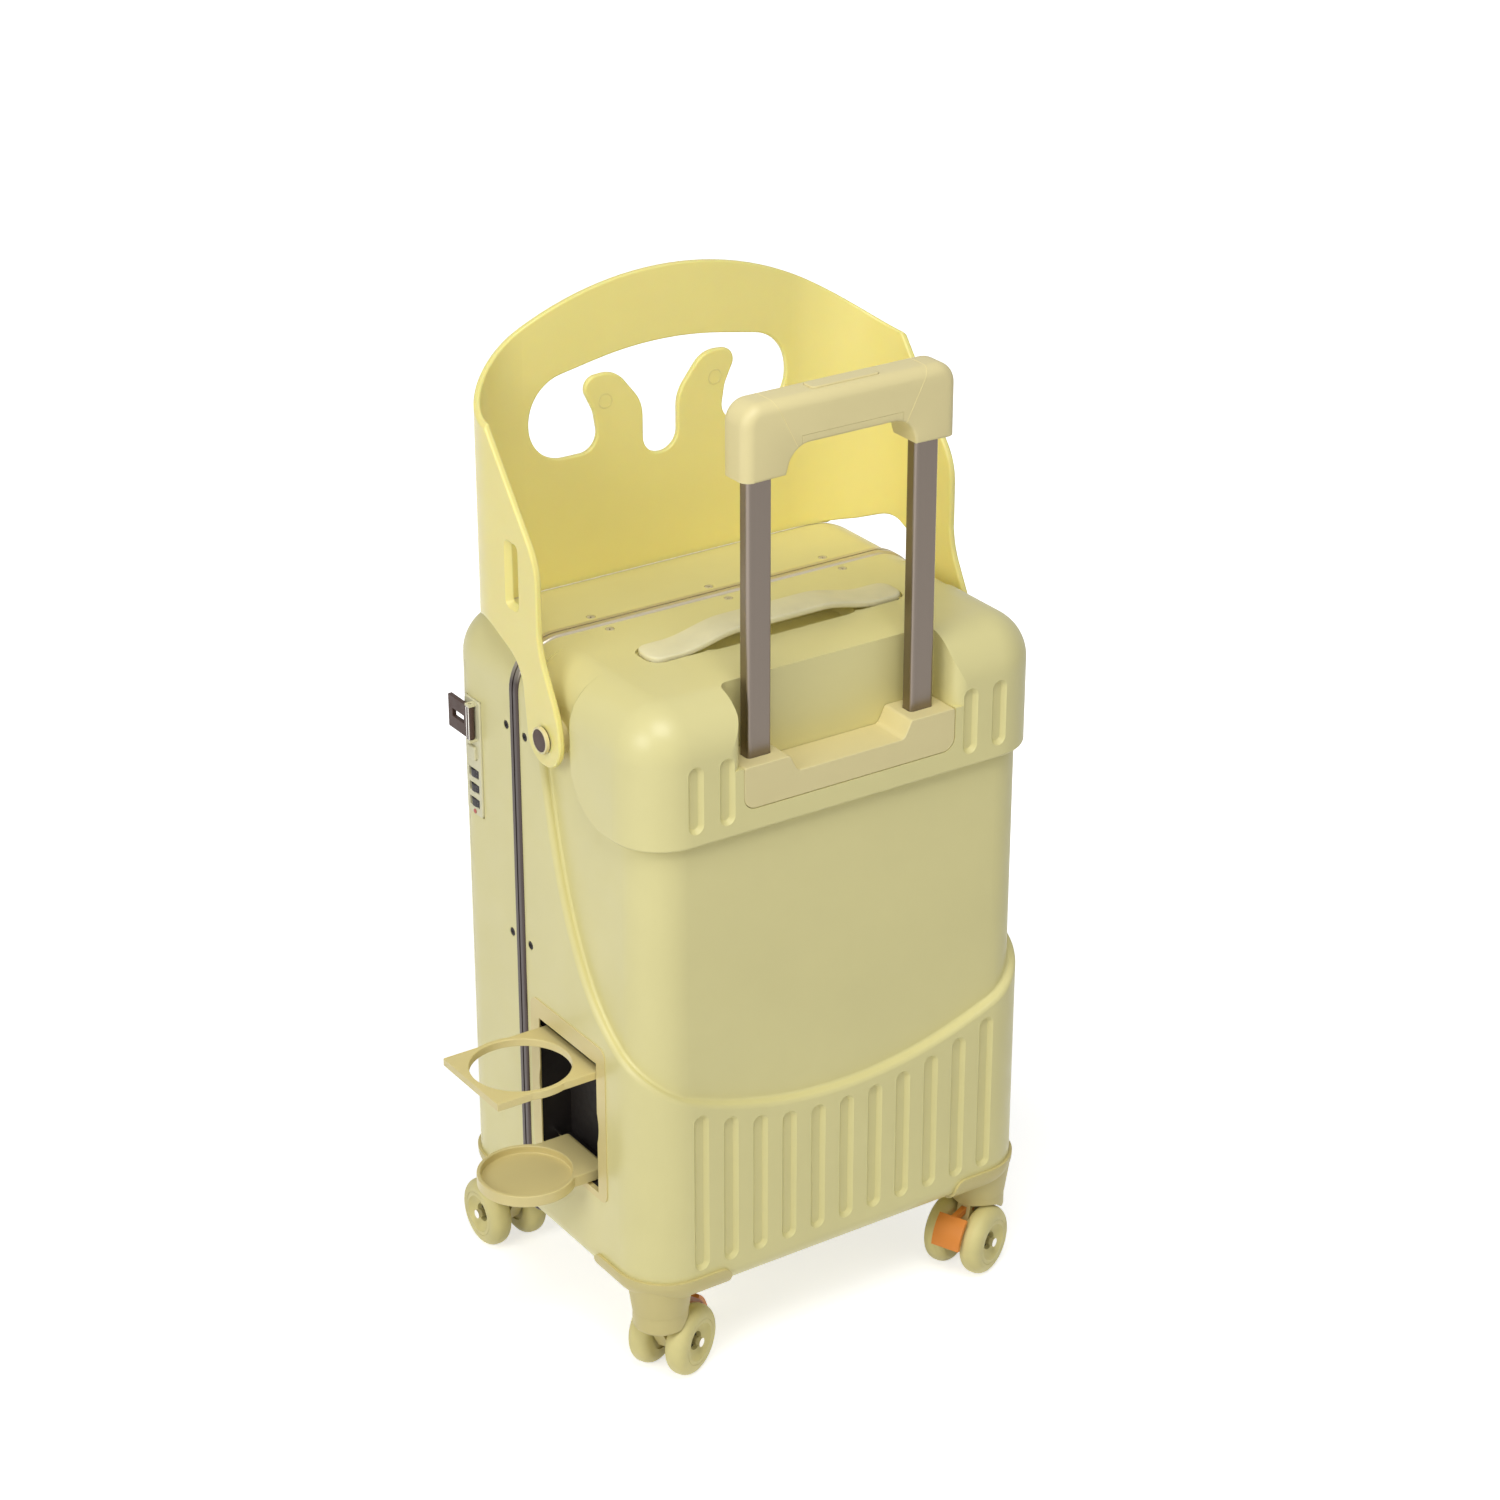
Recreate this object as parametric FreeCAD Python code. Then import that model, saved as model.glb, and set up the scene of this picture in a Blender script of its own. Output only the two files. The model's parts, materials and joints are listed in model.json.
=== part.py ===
import FreeCAD, Part
import math
import os

V = FreeCAD.Vector

# Ride-on suitcase: millimetres, +Z up, +X to the right across the handle face,
# +Y away from the handle face. The origin is on the floor under the middle of the case.

# Case
case_width = 350.0
case_depth = 272.0
case_top = 551.0
case_bottom = 78.0
handle_corner_r = 40.0
front_corner_r = 38.0
top_edge_r = 36.0
bottom_edge_r = 16.0
least_edge_r = 2.0
shell_wall = 3.0
waist_step = 7.0
skirt_edge_r = 3.5
skirt_root_r = 2.0
cap_edge_r = 2.0
soft_edge_r = 1.6
fine_edge_r = 0.8
skin_touch = 0.02

# Clearances
running_gap = 0.05
slip = 0.1
touch_gap = 0.3
bay_gap = 0.4
cut_past = 5.0

# Raised cap and skirt on the handle half
cap_height = 102.0
cap_side_length = 54.0
cap_side_bend_r = 42.0
skirt_mid_z = 215.0
skirt_corner_rise = 48.0
skirt_side_slope = 64.0
skirt_side_bend = 212.0
skirt_end_to_seam = 22.5

# Ribs and slots of the handle face
rib_count = 11
rib_pitch = 25.7
rib_width = 13.0
rib_depth = 3.2
rib_foot_h = 23.0
rib_head_gap = 8.0
slot_places = (105.0, 131.0)
slot_width = 13.0
slot_length = 52.0
slot_from_top = 40.0

# Aluminium frame between the shell halves
seam_to_front = 101.5
rail_width = 6.0
rail_proud = 1.6
rail_depth = 9.0
rail_edge_r = 2.2
seal_width = 1.6
seal_setback = 1.0
flange_reach = 16.0
flange_t = 1.5
screw_r = 2.2
screw_head_r = 3.4
screw_head_h = 1.2
screw_tip = 2.0
screw_offset = 13.0
top_screw_pitch = 102.0
side_screw_z = (120.0, 315.0, 484.0)

# Front lid, hinged on the right side
lid_side_depth = 28.0
lid_foot_h = 26.0
lid_from_top = 39.0
lid_gap = 0.6
hinge_z = (190.0, 420.0)
hinge_length = 46.0
hinge_barrel_r = 3.6
hinge_pin_r = 1.6
hinge_leaf_t = 1.4
hinge_leaf_reach = 14.0

# Telescopic trolley
bezel_width = 182.0
bezel_height = 32.5
bezel_from_top = 52.0
bezel_corner_r = 10.0
bezel_tip_r = 2.0
bezel_brow_r = 3.0
bezel_dip = 13.0
bezel_dip_half = 46.0
bezel_dip_r = 5.0
bay_depth = 34.0
bay_edge_r = 10.0
bay_corner_r = 8.0
bay_lip_r = 14.0
tube_x = 70.0
tube_setback = 18.0
tube_w = 20.0
tube_d = 12.0
tube_r = 3.0
tube_wall = 1.3
tube_gap = 0.3
tube_hole_gap = 1.0
outer_tube_foot_h = 52.0
inner_tube_hidden = 90.0
tube_in_grip = 9.0
grip_head_z = 761.0
grip_height = 54.0
grip_bar_height = 34.0
grip_half_width = 88.5
grip_block_half = 56.0
grip_block_slope = 8.0
grip_foot_r = 6.0
grip_bar_r = 10.0
grip_top_r = 16.0
grip_depth = 30.0
grip_edge_r = 4.5
button_length = 56.0
button_width = 13.0
button_h = 9.0
button_r = 3.0
button_edge_r = 1.0
button_proud = 1.2
button_travel = 4.0
rod_r = 2.5
yoke_lift = 25.0
yoke_h = 6.0
yoke_rim = 2.0
foot_h = 10.0
base_h = 10.0
cover_inset = 14.0
cover_t = 6.0

# Carry strap on the top
strap_to_seam = 69.0
strap_half_length = 109.0
strap_width = 28.0
strap_t = 5.0
strap_rise = 8.0
strap_end_r = 10.0
strap_turn = 10.0
strap_turn_r = 50.0
strap_flat = 42.0
strap_flat_r = 60.0
strap_room = 2.0
well_half_length = 72.0
well_depth = 9.0
well_side = 4.0
anchor_length = 22.0
anchor_h = 3.0
anchor_plate_t = 1.0
anchor_plate_r = 5.0
anchor_peg_r = 2.0

# Folding guard
pivot_to_seam = 51.5
pivot_from_top = 52.0
guard_t = 5.0
guard_side_gap = 1.5
guard_back_setback = 20.0
guard_corner_r = 65.0
guard_rise = 281.0
guard_crown = 80.0
guard_high = 3.0
arm_end_r = 21.0
arm_crook_reach = 29.5
arm_crook_rise = 46.0
arm_crook_r = 30.0
arm_near_reach = 6.0
arm_neck_rise = 16.0
arm_waist_rise = 66.0
arm_waist_r = 60.0
arm_shoulder_rise = 129.0
arm_shoulder_r = 45.0
arch_reach = 79.0
arch_rise = 67.0
guard_foot_rise = 50.0
guard_foot_lift = 6.0
guard_foot_bend = 26.0
guard_foot_r = 40.0
guard_foot_gap = 1.8
hole_half = 112.0
hole_foot_drop = 131.0
hole_head_drop = 51.0
hole_shoulder_drop = 72.0
hole_head_r = 300.0
hole_shoulder_r = 34.0
hole_foot_r = 29.0
tongue_gap = 15.0
tongue_root = 52.0
tongue_root_r = 14.0
tongue_side = 57.0
tongue_side_rise = 30.0
tongue_side_r = 20.0
tongue_tip = 70.0
tongue_tip_r = 10.0
tongue_tip_drop = 2.0
tongue_back = 38.0
tongue_back_r = 22.0
tongue_neck_rise = 30.0
tongue_neck_r = 30.0
tongue_notch = 12.0
tongue_notch_r = 14.5
belt_slot_reach = 39.0
belt_slot_rise = 111.0
belt_slot_w = 11.0
belt_slot_h = 44.0
belt_slot_r = 2.0
belt_slot_bevel = 4.0
pivot_shank_r = 5.0
pivot_head_r = 9.5
pivot_head_h = 3.2
pivot_head_edge_r = 1.0
pivot_washer_r = 13.0
pivot_nut_r = 9.0
pivot_nut_h = 6.0

# Fold-out cup holder on the left face
cup_to_seam = 63.5
cup_bezel_half = 52.0
cup_bezel_foot_h = 66.0
cup_bezel_height = 130.0
cup_bezel_r = 8.0
cup_bezel_proud = 0.8
cup_open_half = 40.2
cup_open_foot = 5.5
cup_open_height = 109.5
cup_box_half = 45.0
cup_box_depth = 28.0
cup_box_wall = 2.0
shelf_lift = 99.0
shelf_half = 39.5
shelf_t = 6.5
shelf_reach = 86.2
shelf_pin_setback = 3.6
cup_hole_r = 37.5
cup_hole_reach = 44.0
cup_ring_w = 4.0
tray_lift = 7.0
tray_reach = 50.5
tray_h = 9.0
tray_r = 37.0
tray_rim = 3.0
tray_floor_t = 3.0
tray_neck_half = 28.0
tray_pin_setback = 12.5
cup_pin_r = 1.6

# Combination lock on the left face
lock_to_lid = 2.0
lock_width = 22.0
lock_foot_z = 393.0
lock_height = 94.0
lock_plate_t = 4.0
lock_plate_r = 3.0
lock_proud = 1.5
dial_first = 10.0
dial_pitch = 12.0
dial_count = 3
dial_r = 7.0
dial_w = 6.5
dial_axle_r = 1.2
dial_proud = 0.6
lug_t = 1.6
lug_wall = 2.2
lock_button_rise = 51.0
lock_button_size = 11.0
lock_button_r = 1.5
lock_button_travel = 2.0
latch_rise = 77.0
latch_h = 26.0
latch_t = 3.5
latch_pin_r = 1.4
latch_pin_inset = 7.4
latch_pin_gap = 2.0
latch_reach = 14.0
latch_window = 7.0
latch_bar = 10.0
ear_t = 2.0
ear_wall = 1.2
ear_half = 3.0
keeper_inset = 3.0
indicator_rise = 2.5
indicator_r = 1.8
indicator_proud = 0.4

# Corner casters
swivel_from_side = 28.0
swivel_from_handle = 29.0
swivel_from_front = 29.0
corner_guard_length = 72.0
corner_guard_side = 74.0
corner_guard_h = 18.0
corner_guard_t = 2.5
corner_guard_end_r = 9.0
cone_top_r = 25.0
cone_foot_r = 21.5
cone_drop = 16.0
wheel_r = 27.5
wheel_w = 18.0
wheel_gap = 14.0
wheel_edge_r = 8.0
hub_r = 13.0
hub_dish = 2.5
caster_trail = 16.0
axle_r = 3.5
axle_out = 1.0
stem_r = 5.0
fork_plate_r = 21.0
fork_plate_t = 4.0
fork_front = 12.0
fork_front_r = 4.0
fork_back = 18.0
fork_boss = 9.0
fork_boss_r = 8.0
fork_side_gap = 1.5
hood_h = 15.0
hood_edge_r = 3.0
wheel_room = 1.5
brake_t = 3.0
brake_gap = 2.5
brake_width = 24.0
brake_foot_angle = 6.0
brake_head_angle = 52.0
brake_arm = 4.4
brake_arm_h = 5.0
brake_arm_lap = 3.5
brake_pin_r = 1.5
brake_pin_x = 15.0
brake_pin_drop = 11.0
near_left_angle = 26.0
near_right_angle = 203.0
far_left_angle = 90.0
far_right_angle = 75.0

# Values worked out from the sizes above
half_w = case_width / 2
half_d = case_depth / 2
handle_y = -half_d
channel_x = half_w - waist_step
cap_line_z = case_top - cap_height
cap_side_bend_y = handle_y + cap_side_length
seam_y = half_d - seam_to_front
rail_back_y = seam_y - rail_width
rail_front_y = seam_y + rail_width
skirt_side_end_y = seam_y - skirt_end_to_seam
rib_foot_z = case_bottom + rib_foot_h
slot_head_z = case_top - slot_from_top
slot_foot_z = slot_head_z - slot_length
lid_seam_y = half_d - lid_side_depth
lid_foot_z = case_bottom + lid_foot_h
lid_head_z = case_top - lid_from_top
bezel_head_z = case_top - bezel_from_top
bezel_foot_z = bezel_head_z - bezel_height
bay_back_y = handle_y + bay_depth
tube_y = handle_y + tube_setback
outer_tube_foot_z = case_bottom + outer_tube_foot_h
grip_foot_z = grip_head_z - grip_height
grip_bar_foot_z = grip_head_z - grip_bar_height
tube_top_z = grip_foot_z + tube_in_grip
yoke_z = tube_top_z + yoke_lift
strap_y = seam_y - strap_to_seam
pivot_y = seam_y - pivot_to_seam
pivot_z = case_top - pivot_from_top
arm_in_x = half_w + guard_side_gap
arm_out_x = arm_in_x + guard_t
guard_back_y = half_d - guard_back_setback
guard_top_z = pivot_z + guard_rise
guard_shoulder_z = guard_top_z - guard_crown
guard_foot_z = pivot_z + guard_foot_rise
hole_foot_z = guard_top_z - hole_foot_drop
hole_head_z = guard_top_z - hole_head_drop
hole_shoulder_z = guard_top_z - hole_shoulder_drop
belt_slot_y = pivot_y + belt_slot_reach
belt_slot_z = pivot_z + belt_slot_rise
cup_y = seam_y - cup_to_seam
cup_bezel_foot_z = case_bottom + cup_bezel_foot_h
cup_bezel_head_z = cup_bezel_foot_z + cup_bezel_height
cup_open_foot_z = cup_bezel_foot_z + cup_open_foot
cup_open_head_z = cup_open_foot_z + cup_open_height
shelf_z = cup_open_foot_z + shelf_lift
tray_z = cup_open_foot_z + tray_lift
lock_far_y = lid_seam_y - lock_to_lid
lock_near_y = lock_far_y - lock_width
lock_head_z = lock_foot_z + lock_height
dial_z = [lock_foot_z + dial_first + dial_pitch * k for k in range(dial_count)]
lock_button_z = lock_foot_z + lock_button_rise
latch_z = lock_foot_z + latch_rise
indicator_z = lock_foot_z + indicator_rise
corner_guard_head_z = case_bottom + corner_guard_h
cone_foot_z = case_bottom - cone_drop
swivel_x = half_w - swivel_from_side
swivel_near_y = handle_y + swivel_from_handle
swivel_far_y = half_d - swivel_from_front
casters = (("near_left", -1, -1, near_left_angle, True), ("near_right", 1, -1, near_right_angle, True),
           ("far_left", -1, 1, far_left_angle, False), ("far_right", 1, 1, far_right_angle, False))
parts = {}


def box(x0, x1, y0, y1, z0, z1):
    """Box between two corners."""
    return Part.makeBox(x1 - x0, y1 - y0, z1 - z0, V(x0, y0, z0))


def rod(r, start, direction, length):
    """Cylinder from a start point."""
    return Part.makeCylinder(r, length, V(*start), V(*direction))


def at_z(z):
    return lambda u, v: V(u, v, z)


def at_y(y):
    return lambda u, v: V(u, y, v)


def at_x(x):
    return lambda u, v: V(x, u, v)


def outline(corners, place):
    """Face of a closed outline whose corners (u, v, radius) are rounded."""
    ends = []
    count = len(corners)
    for i, (u, v, r) in enumerate(corners):
        before = FreeCAD.Vector(corners[i - 1][0] - u, corners[i - 1][1] - v, 0).normalize()
        after_u, after_v = corners[(i + 1) % count][:2]
        after = FreeCAD.Vector(after_u - u, after_v - v, 0).normalize()
        half = before.getAngle(after) / 2
        back = r / math.tan(half)
        middle = (before + after).normalize()
        centre = r / math.sin(half)
        corner = V(u, v, 0)
        tip = corner + middle * (centre - r)
        ends.append((corner + before * back, tip, corner + after * back, r))
    edges = []
    for i, (start, tip, finish, r) in enumerate(ends):
        last = ends[i - 1][2]
        if (start - last).Length > 1e-4:
            edges.append(Part.LineSegment(place(last.x, last.y), place(start.x, start.y)).toShape())
        if r > 0:
            arc = Part.Arc(place(start.x, start.y), place(tip.x, tip.y), place(finish.x, finish.y))
            edges.append(arc.toShape())
    return Part.Face(Part.Wire(edges))


def rectangle(u0, u1, v0, v1, r, place):
    """Face of a rectangle with one corner radius."""
    return outline([(u0, v0, r), (u1, v0, r), (u1, v1, r), (u0, v1, r)], place)


def edges_at(shape, axis, value):
    """Edges that lie whole in the plane where the axis has the value."""
    low, high = axis.upper() + "Min", axis.upper() + "Max"
    found = []
    for edge in shape.Edges:
        bounds = edge.BoundBox
        if abs(getattr(bounds, low) - value) < 1e-3 and abs(getattr(bounds, high) - value) < 1e-3:
            found.append(edge)
    return found


def sharp_edges(shape):
    """Edges where two faces of the shape meet at an angle."""
    found = []
    for edge in shape.Edges:
        faces = shape.ancestorsOfType(edge, Part.Face)
        if len(faces) != 2:
            continue
        start, end = edge.ParameterRange
        middle = edge.valueAt((start + end) / 2)
        normals = [face.normalAt(*face.Surface.parameter(middle)) for face in faces]
        if abs(normals[0].dot(normals[1])) < 0.9:
            found.append(edge)
    return found


def soften(shape, r):
    """Shape with all its sharp edges rounded."""
    return shape.makeFillet(r, sharp_edges(shape))


def shared_edges(shape, *others):
    """Edges of the shape whose middle lies on the skin of every other shape."""
    found = []
    for edge in shape.Edges:
        start, end = edge.ParameterRange
        middle = Part.Vertex(edge.valueAt((start + end) / 2))
        if all(other.Shells[0].distToShape(middle)[0] < skin_touch for other in others):
            found.append(edge)
    return found


def fuse(first, *others):
    """Union with the seams between coplanar faces removed."""
    return first.multiFuse(list(others)).removeSplitter()


def case_form(side, near, far, foot, head):
    """Rounded case block, drawn in from the outer faces by the given amounts."""
    w = half_w - side
    near_r = handle_corner_r - side
    far_r = front_corner_r - side
    corners = [(-w, -half_d + near, near_r), (w, -half_d + near, near_r), (w, half_d - far, far_r),
               (-w, half_d - far, far_r)]
    height = case_top - head - case_bottom - foot
    block = outline(corners, at_z(case_bottom + foot)).extrude(V(0, 0, height))
    block = block.makeFillet(top_edge_r - side, edges_at(block, "z", case_top - head))
    foot_r = max(bottom_edge_r - side, least_edge_r)
    return block.makeFillet(foot_r, edges_at(block, "z", case_bottom + foot))


def slab(y0, y1):
    """Everything between two planes across the case."""
    return box(-case_width, case_width, y0, y1, 0, 2 * case_top)


def skirt_rise(y):
    """Height gained by the skirt's upper edge along the side faces."""
    t = (y - handle_y) / (skirt_side_end_y - handle_y)
    return skirt_side_slope * t + skirt_side_bend * max(t, 0.0) ** 4


def skirt_block():
    """Everything below the skirt's upper edge: a smile across, rising along the sides."""
    reach = half_w + cut_past
    rise = skirt_corner_rise * (reach / half_w) ** 2
    across = [V(-reach, 0, rise), V(0, 0, -rise), V(reach, 0, rise)]
    span = skirt_side_end_y - handle_y
    stations = [handle_y + span * k / 6 for k in (-1, 0, 1, 2, 3, 4, 5, 6)]
    along = Part.BSplineCurve()
    along.interpolate([V(0, y, skirt_rise(y)) for y in stations])
    poles = [[a + b + V(0, 0, skirt_mid_z) for b in along.getPoles()] for a in across]
    sheet = Part.BSplineSurface()
    sheet.buildFromPolesMultsKnots(poles, [3, 3], along.getMultiplicities(), [0, 1], along.getKnots(),
                                   False, False,
                                   2, along.Degree)
    return sheet.toShape().extrude(V(0, 0, -case_top))


def cap_block():
    """Everything above the cap's lower edge, which turns up to the top behind the bend."""
    end_y = cap_side_bend_y + cap_side_bend_r
    near_y = handle_y - cut_past
    high = case_top + cap_height
    corners = [(near_y, cap_line_z, 0), (end_y, cap_line_z, cap_side_bend_r), (end_y, high, 0),
               (near_y, high, 0)]
    return outline(corners, at_x(-case_width)).extrude(V(2 * case_width, 0, 0))


def stadium(x, z0, z1, width, depth):
    """Upright groove with round ends in the handle face, with sloping walls."""
    half = width / 2
    bed_half = half - depth
    mouth = rectangle(x - half, x + half, z0, z1, half - skin_touch, at_y(handle_y - slip))
    bed = rectangle(x - bed_half, x + bed_half, z0 + depth, z1 - depth, bed_half - skin_touch,
                    at_y(handle_y + depth))
    return Part.makeLoft([mouth.OuterWire, bed.OuterWire], True, True)


def bay_block(grow):
    """Trolley bay open to the handle face and the top; grow adds a wall around it."""
    w = bezel_width / 2 + bay_gap + grow
    back = bay_back_y + grow
    foot = bezel_foot_z - bay_gap - grow
    far = 3 * bay_edge_r
    near_y = handle_y - cut_past
    pocket = rectangle(-w, w, foot, 2 * bezel_head_z - foot, bezel_corner_r + bay_gap, at_y(near_y))
    pocket = pocket.extrude(V(0, back - near_y, 0))
    pocket = pocket.common(box(-w, w, near_y, back, foot, bezel_head_z))
    if grow:
        return fuse(pocket, box(-w, w, handle_y, back, bezel_head_z - cut_past, case_top))
    plan = [(-w - far, handle_y - far, 0), (-w - far, handle_y, 0), (-w, handle_y, bay_edge_r),
            (-w, back, bay_corner_r), (w, back, bay_corner_r), (w, handle_y, bay_edge_r),
            (w + far, handle_y, 0), (w + far, handle_y - far, 0)]
    upper = outline(plan, at_z(bezel_head_z)).extrude(V(0, 0, case_top))
    high = case_top + far
    profile = [(handle_y - far, bezel_head_z, 0), (back, bezel_head_z, 0), (back, case_top, bay_lip_r),
               (back + far, case_top, 0), (back + far, high, 0), (handle_y - far, high, 0)]
    limit = outline(profile, at_x(-w - far)).extrude(V(2 * (w + far), 0, 0))
    return fuse(pocket, upper.common(limit))


def well_block():
    """Finger well under the carry strap."""
    w = strap_width / 2 + well_side
    end = well_half_length
    bed_w = w - well_depth / 2
    bed_end = end - well_depth
    mouth = rectangle(-end, end, strap_y - w, strap_y + w, w - touch_gap, at_z(case_top + slip))
    bed = rectangle(-bed_end, bed_end, strap_y - bed_w, strap_y + bed_w, w - well_depth,
                    at_z(case_top - well_depth))
    return Part.makeLoft([mouth.OuterWire, bed.OuterWire], True, True)


def lid_block(grow):
    """Zone of the front lid: the far face and the side returns back to the lid seam."""
    return box(-case_width, case_width, lid_seam_y - grow, case_depth, lid_foot_z - grow, lid_head_z + grow)


def cup_box(grow):
    """Recess box of the cup holder, sunk into the left face."""
    half = cup_box_half + cup_box_wall + grow
    depth = cup_box_depth + cup_box_wall + grow
    return box(-half_w - cut_past, -half_w + depth, cup_y - half, cup_y + half,
               cup_open_foot_z - cup_box_wall - grow, cup_open_head_z + cup_box_wall + grow)


def lock_block(grow):
    """Pocket of the lock plate in the left face."""
    depth = lock_plate_t + 2 * dial_r + grow
    return box(-half_w - cut_past, -half_w + depth, lock_near_y - grow, lock_far_y + grow, lock_foot_z - grow,
               lock_head_z + grow)


def case_loop(inset, y):
    """Face of the case's outline across, drawn in by the inset."""
    foot_r = max(bottom_edge_r - inset, least_edge_r)
    top_r = top_edge_r - inset
    w = half_w - inset
    foot = case_bottom + inset
    head = case_top - inset
    return outline([(-w, foot, foot_r), (w, foot, foot_r), (w, head, top_r), (-w, head, top_r)], at_y(y))


def ring(outer, inner, y0, y1, round_y=None):
    """Closed band round the case between two insets, with one outer edge rounded."""
    band = case_loop(outer, y0).extrude(V(0, y1 - y0, 0))
    if round_y is not None:
        band = band.makeFillet(rail_edge_r, edges_at(band, "y", round_y))
    return band.cut(case_loop(inner, y0).extrude(V(0, y1 - y0, 0)))


def screw_seats():
    """Place and inward direction of every frame screw."""
    seats = []
    for offset in (-screw_offset, screw_offset):
        for x in (-top_screw_pitch, 0.0, top_screw_pitch):
            seats.append(((x, seam_y + offset, case_top), (0, 0, -1)))
        for z in side_screw_z:
            for side in (-1, 1):
                seats.append(((side * half_w, seam_y + offset, z), (-side, 0, 0)))
    return seats


def strap_slot():
    """Two blind slots that hold the ends of the carry strap."""
    cuts = []
    for side in (-1, 1):
        x0, x1 = sorted((side * (well_half_length - strap_width / 2),
                         side * (strap_half_length + strap_room)))
        w = strap_width / 2 + strap_room
        zone = rectangle(x0, x1, strap_y - w, strap_y + w, strap_end_r + strap_room,
                         at_z(case_top - anchor_h))
        cuts.append(zone.extrude(V(0, 0, 2 * anchor_h)))
    return cuts


def pivot_holes(r):
    """Both guard pivots, through the side walls."""
    return rod(r, (-case_width, pivot_y, pivot_z), (1, 0, 0), 2 * case_width)


def build_shells(outer):
    waist = case_form(waist_step, waist_step, waist_step, 0, 0)
    skirt = skirt_block()
    cap = cap_block()
    zone = box(-case_width, case_width, -case_depth, skirt_side_end_y, case_bottom, case_top + cut_past)
    body = outer.cut(zone.cut(skirt).cut(waist))
    body = body.makeFillet(skirt_edge_r, shared_edges(body, skirt, outer))
    body = body.makeFillet(skirt_root_r, shared_edges(body, skirt, waist))
    crown = outer.common(cap)
    round_z = case_top - top_edge_r - slip
    rim = [edge for edge in shared_edges(crown, cap, outer) if edge.BoundBox.ZMin < round_z]
    body = fuse(body, crown.makeFillet(cap_edge_r, rim))
    thick = waist_step + shell_wall
    wall = shell_wall
    low = box(-half_w, half_w, -half_d, rail_back_y, 0, skirt_mid_z - thick)
    back_room = case_form(thick, thick, thick, wall,
                          anchor_h + 2 * anchor_plate_t).common(slab(-half_d, rail_back_y))
    low_room = case_form(wall, thick, thick, wall, 0).common(low)
    front_room = case_form(wall, wall, wall, wall, wall).common(slab(rail_back_y - flange_reach, half_d))
    well_wall = box(-well_half_length, well_half_length, strap_y - strap_width, strap_y + strap_width,
                    case_top - well_depth - wall, case_top)
    room = fuse(back_room, low_room).cut(bay_block(shell_wall)).cut(well_wall)
    body = body.cut(room).cut(front_room)
    grooves = []
    for k in range(rib_count):
        x = (k - (rib_count - 1) / 2) * rib_pitch
        head = skirt_mid_z + skirt_corner_rise * (x / half_w) ** 2 - rib_head_gap
        grooves.append(stadium(x, rib_foot_z, head, rib_width, rib_depth))
    for x in slot_places:
        for side in (-1, 1):
            grooves.append(stadium(side * x, slot_foot_z, slot_head_z, slot_width, rib_depth))
    body = body.cut(grooves + [bay_block(0), well_block()] + strap_slot())
    body = body.cut([cup_box(bay_gap), lock_block(bay_gap), pivot_holes(pivot_shank_r + bay_gap)])
    for place, way in screw_seats():
        body = body.cut([rod(screw_r + slip, place, way, 3 * shell_wall + waist_step),
                         rod(screw_head_r + slip, place, way, screw_head_h)])
    grow = tube_wall + tube_hole_gap
    low_z = bezel_foot_z - 3 * shell_wall
    body = body.cut([tube_block(side * tube_x, grow, low_z, low_z + 6 * shell_wall) for side in (-1, 1)])
    parts["back_shell"] = body.common(slab(-case_depth, rail_back_y))
    front = body.common(slab(rail_front_y, case_depth))
    parts["front_shell"] = front.cut(lid_block(lid_gap / 2))
    parts["front_lid"] = front.common(lid_block(-lid_gap / 2))


def build_frame():
    near_seal = seam_y - seal_width / 2
    far_seal = seam_y + seal_width / 2
    inside = shell_wall + slip
    holes = [rod(screw_r + slip, place, way, 4 * shell_wall) for place, way in screw_seats()]
    for name, y0, y1, flange_y, round_y in (
            ("frame_back_rail", rail_back_y, near_seal, rail_back_y - flange_reach, rail_back_y),
            ("frame_front_rail", far_seal, rail_front_y, rail_front_y, rail_front_y)):
        band = ring(-rail_proud, rail_depth, y0, y1, round_y)
        flange = ring(inside, inside + flange_t, flange_y, flange_y + flange_reach)
        parts[name] = fuse(band, flange).cut(holes + [cup_box(bay_gap)])
    parts["frame_seal"] = ring(seal_setback - rail_proud, rail_depth, near_seal, far_seal)
    screws = []
    for place, way in screw_seats():
        shank = rod(screw_r, place, way, shell_wall + flange_t + screw_tip)
        screws.append(fuse(shank, rod(screw_head_r, place, way, screw_head_h)))
    parts["frame_screws"] = Part.makeCompound(screws)


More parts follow.
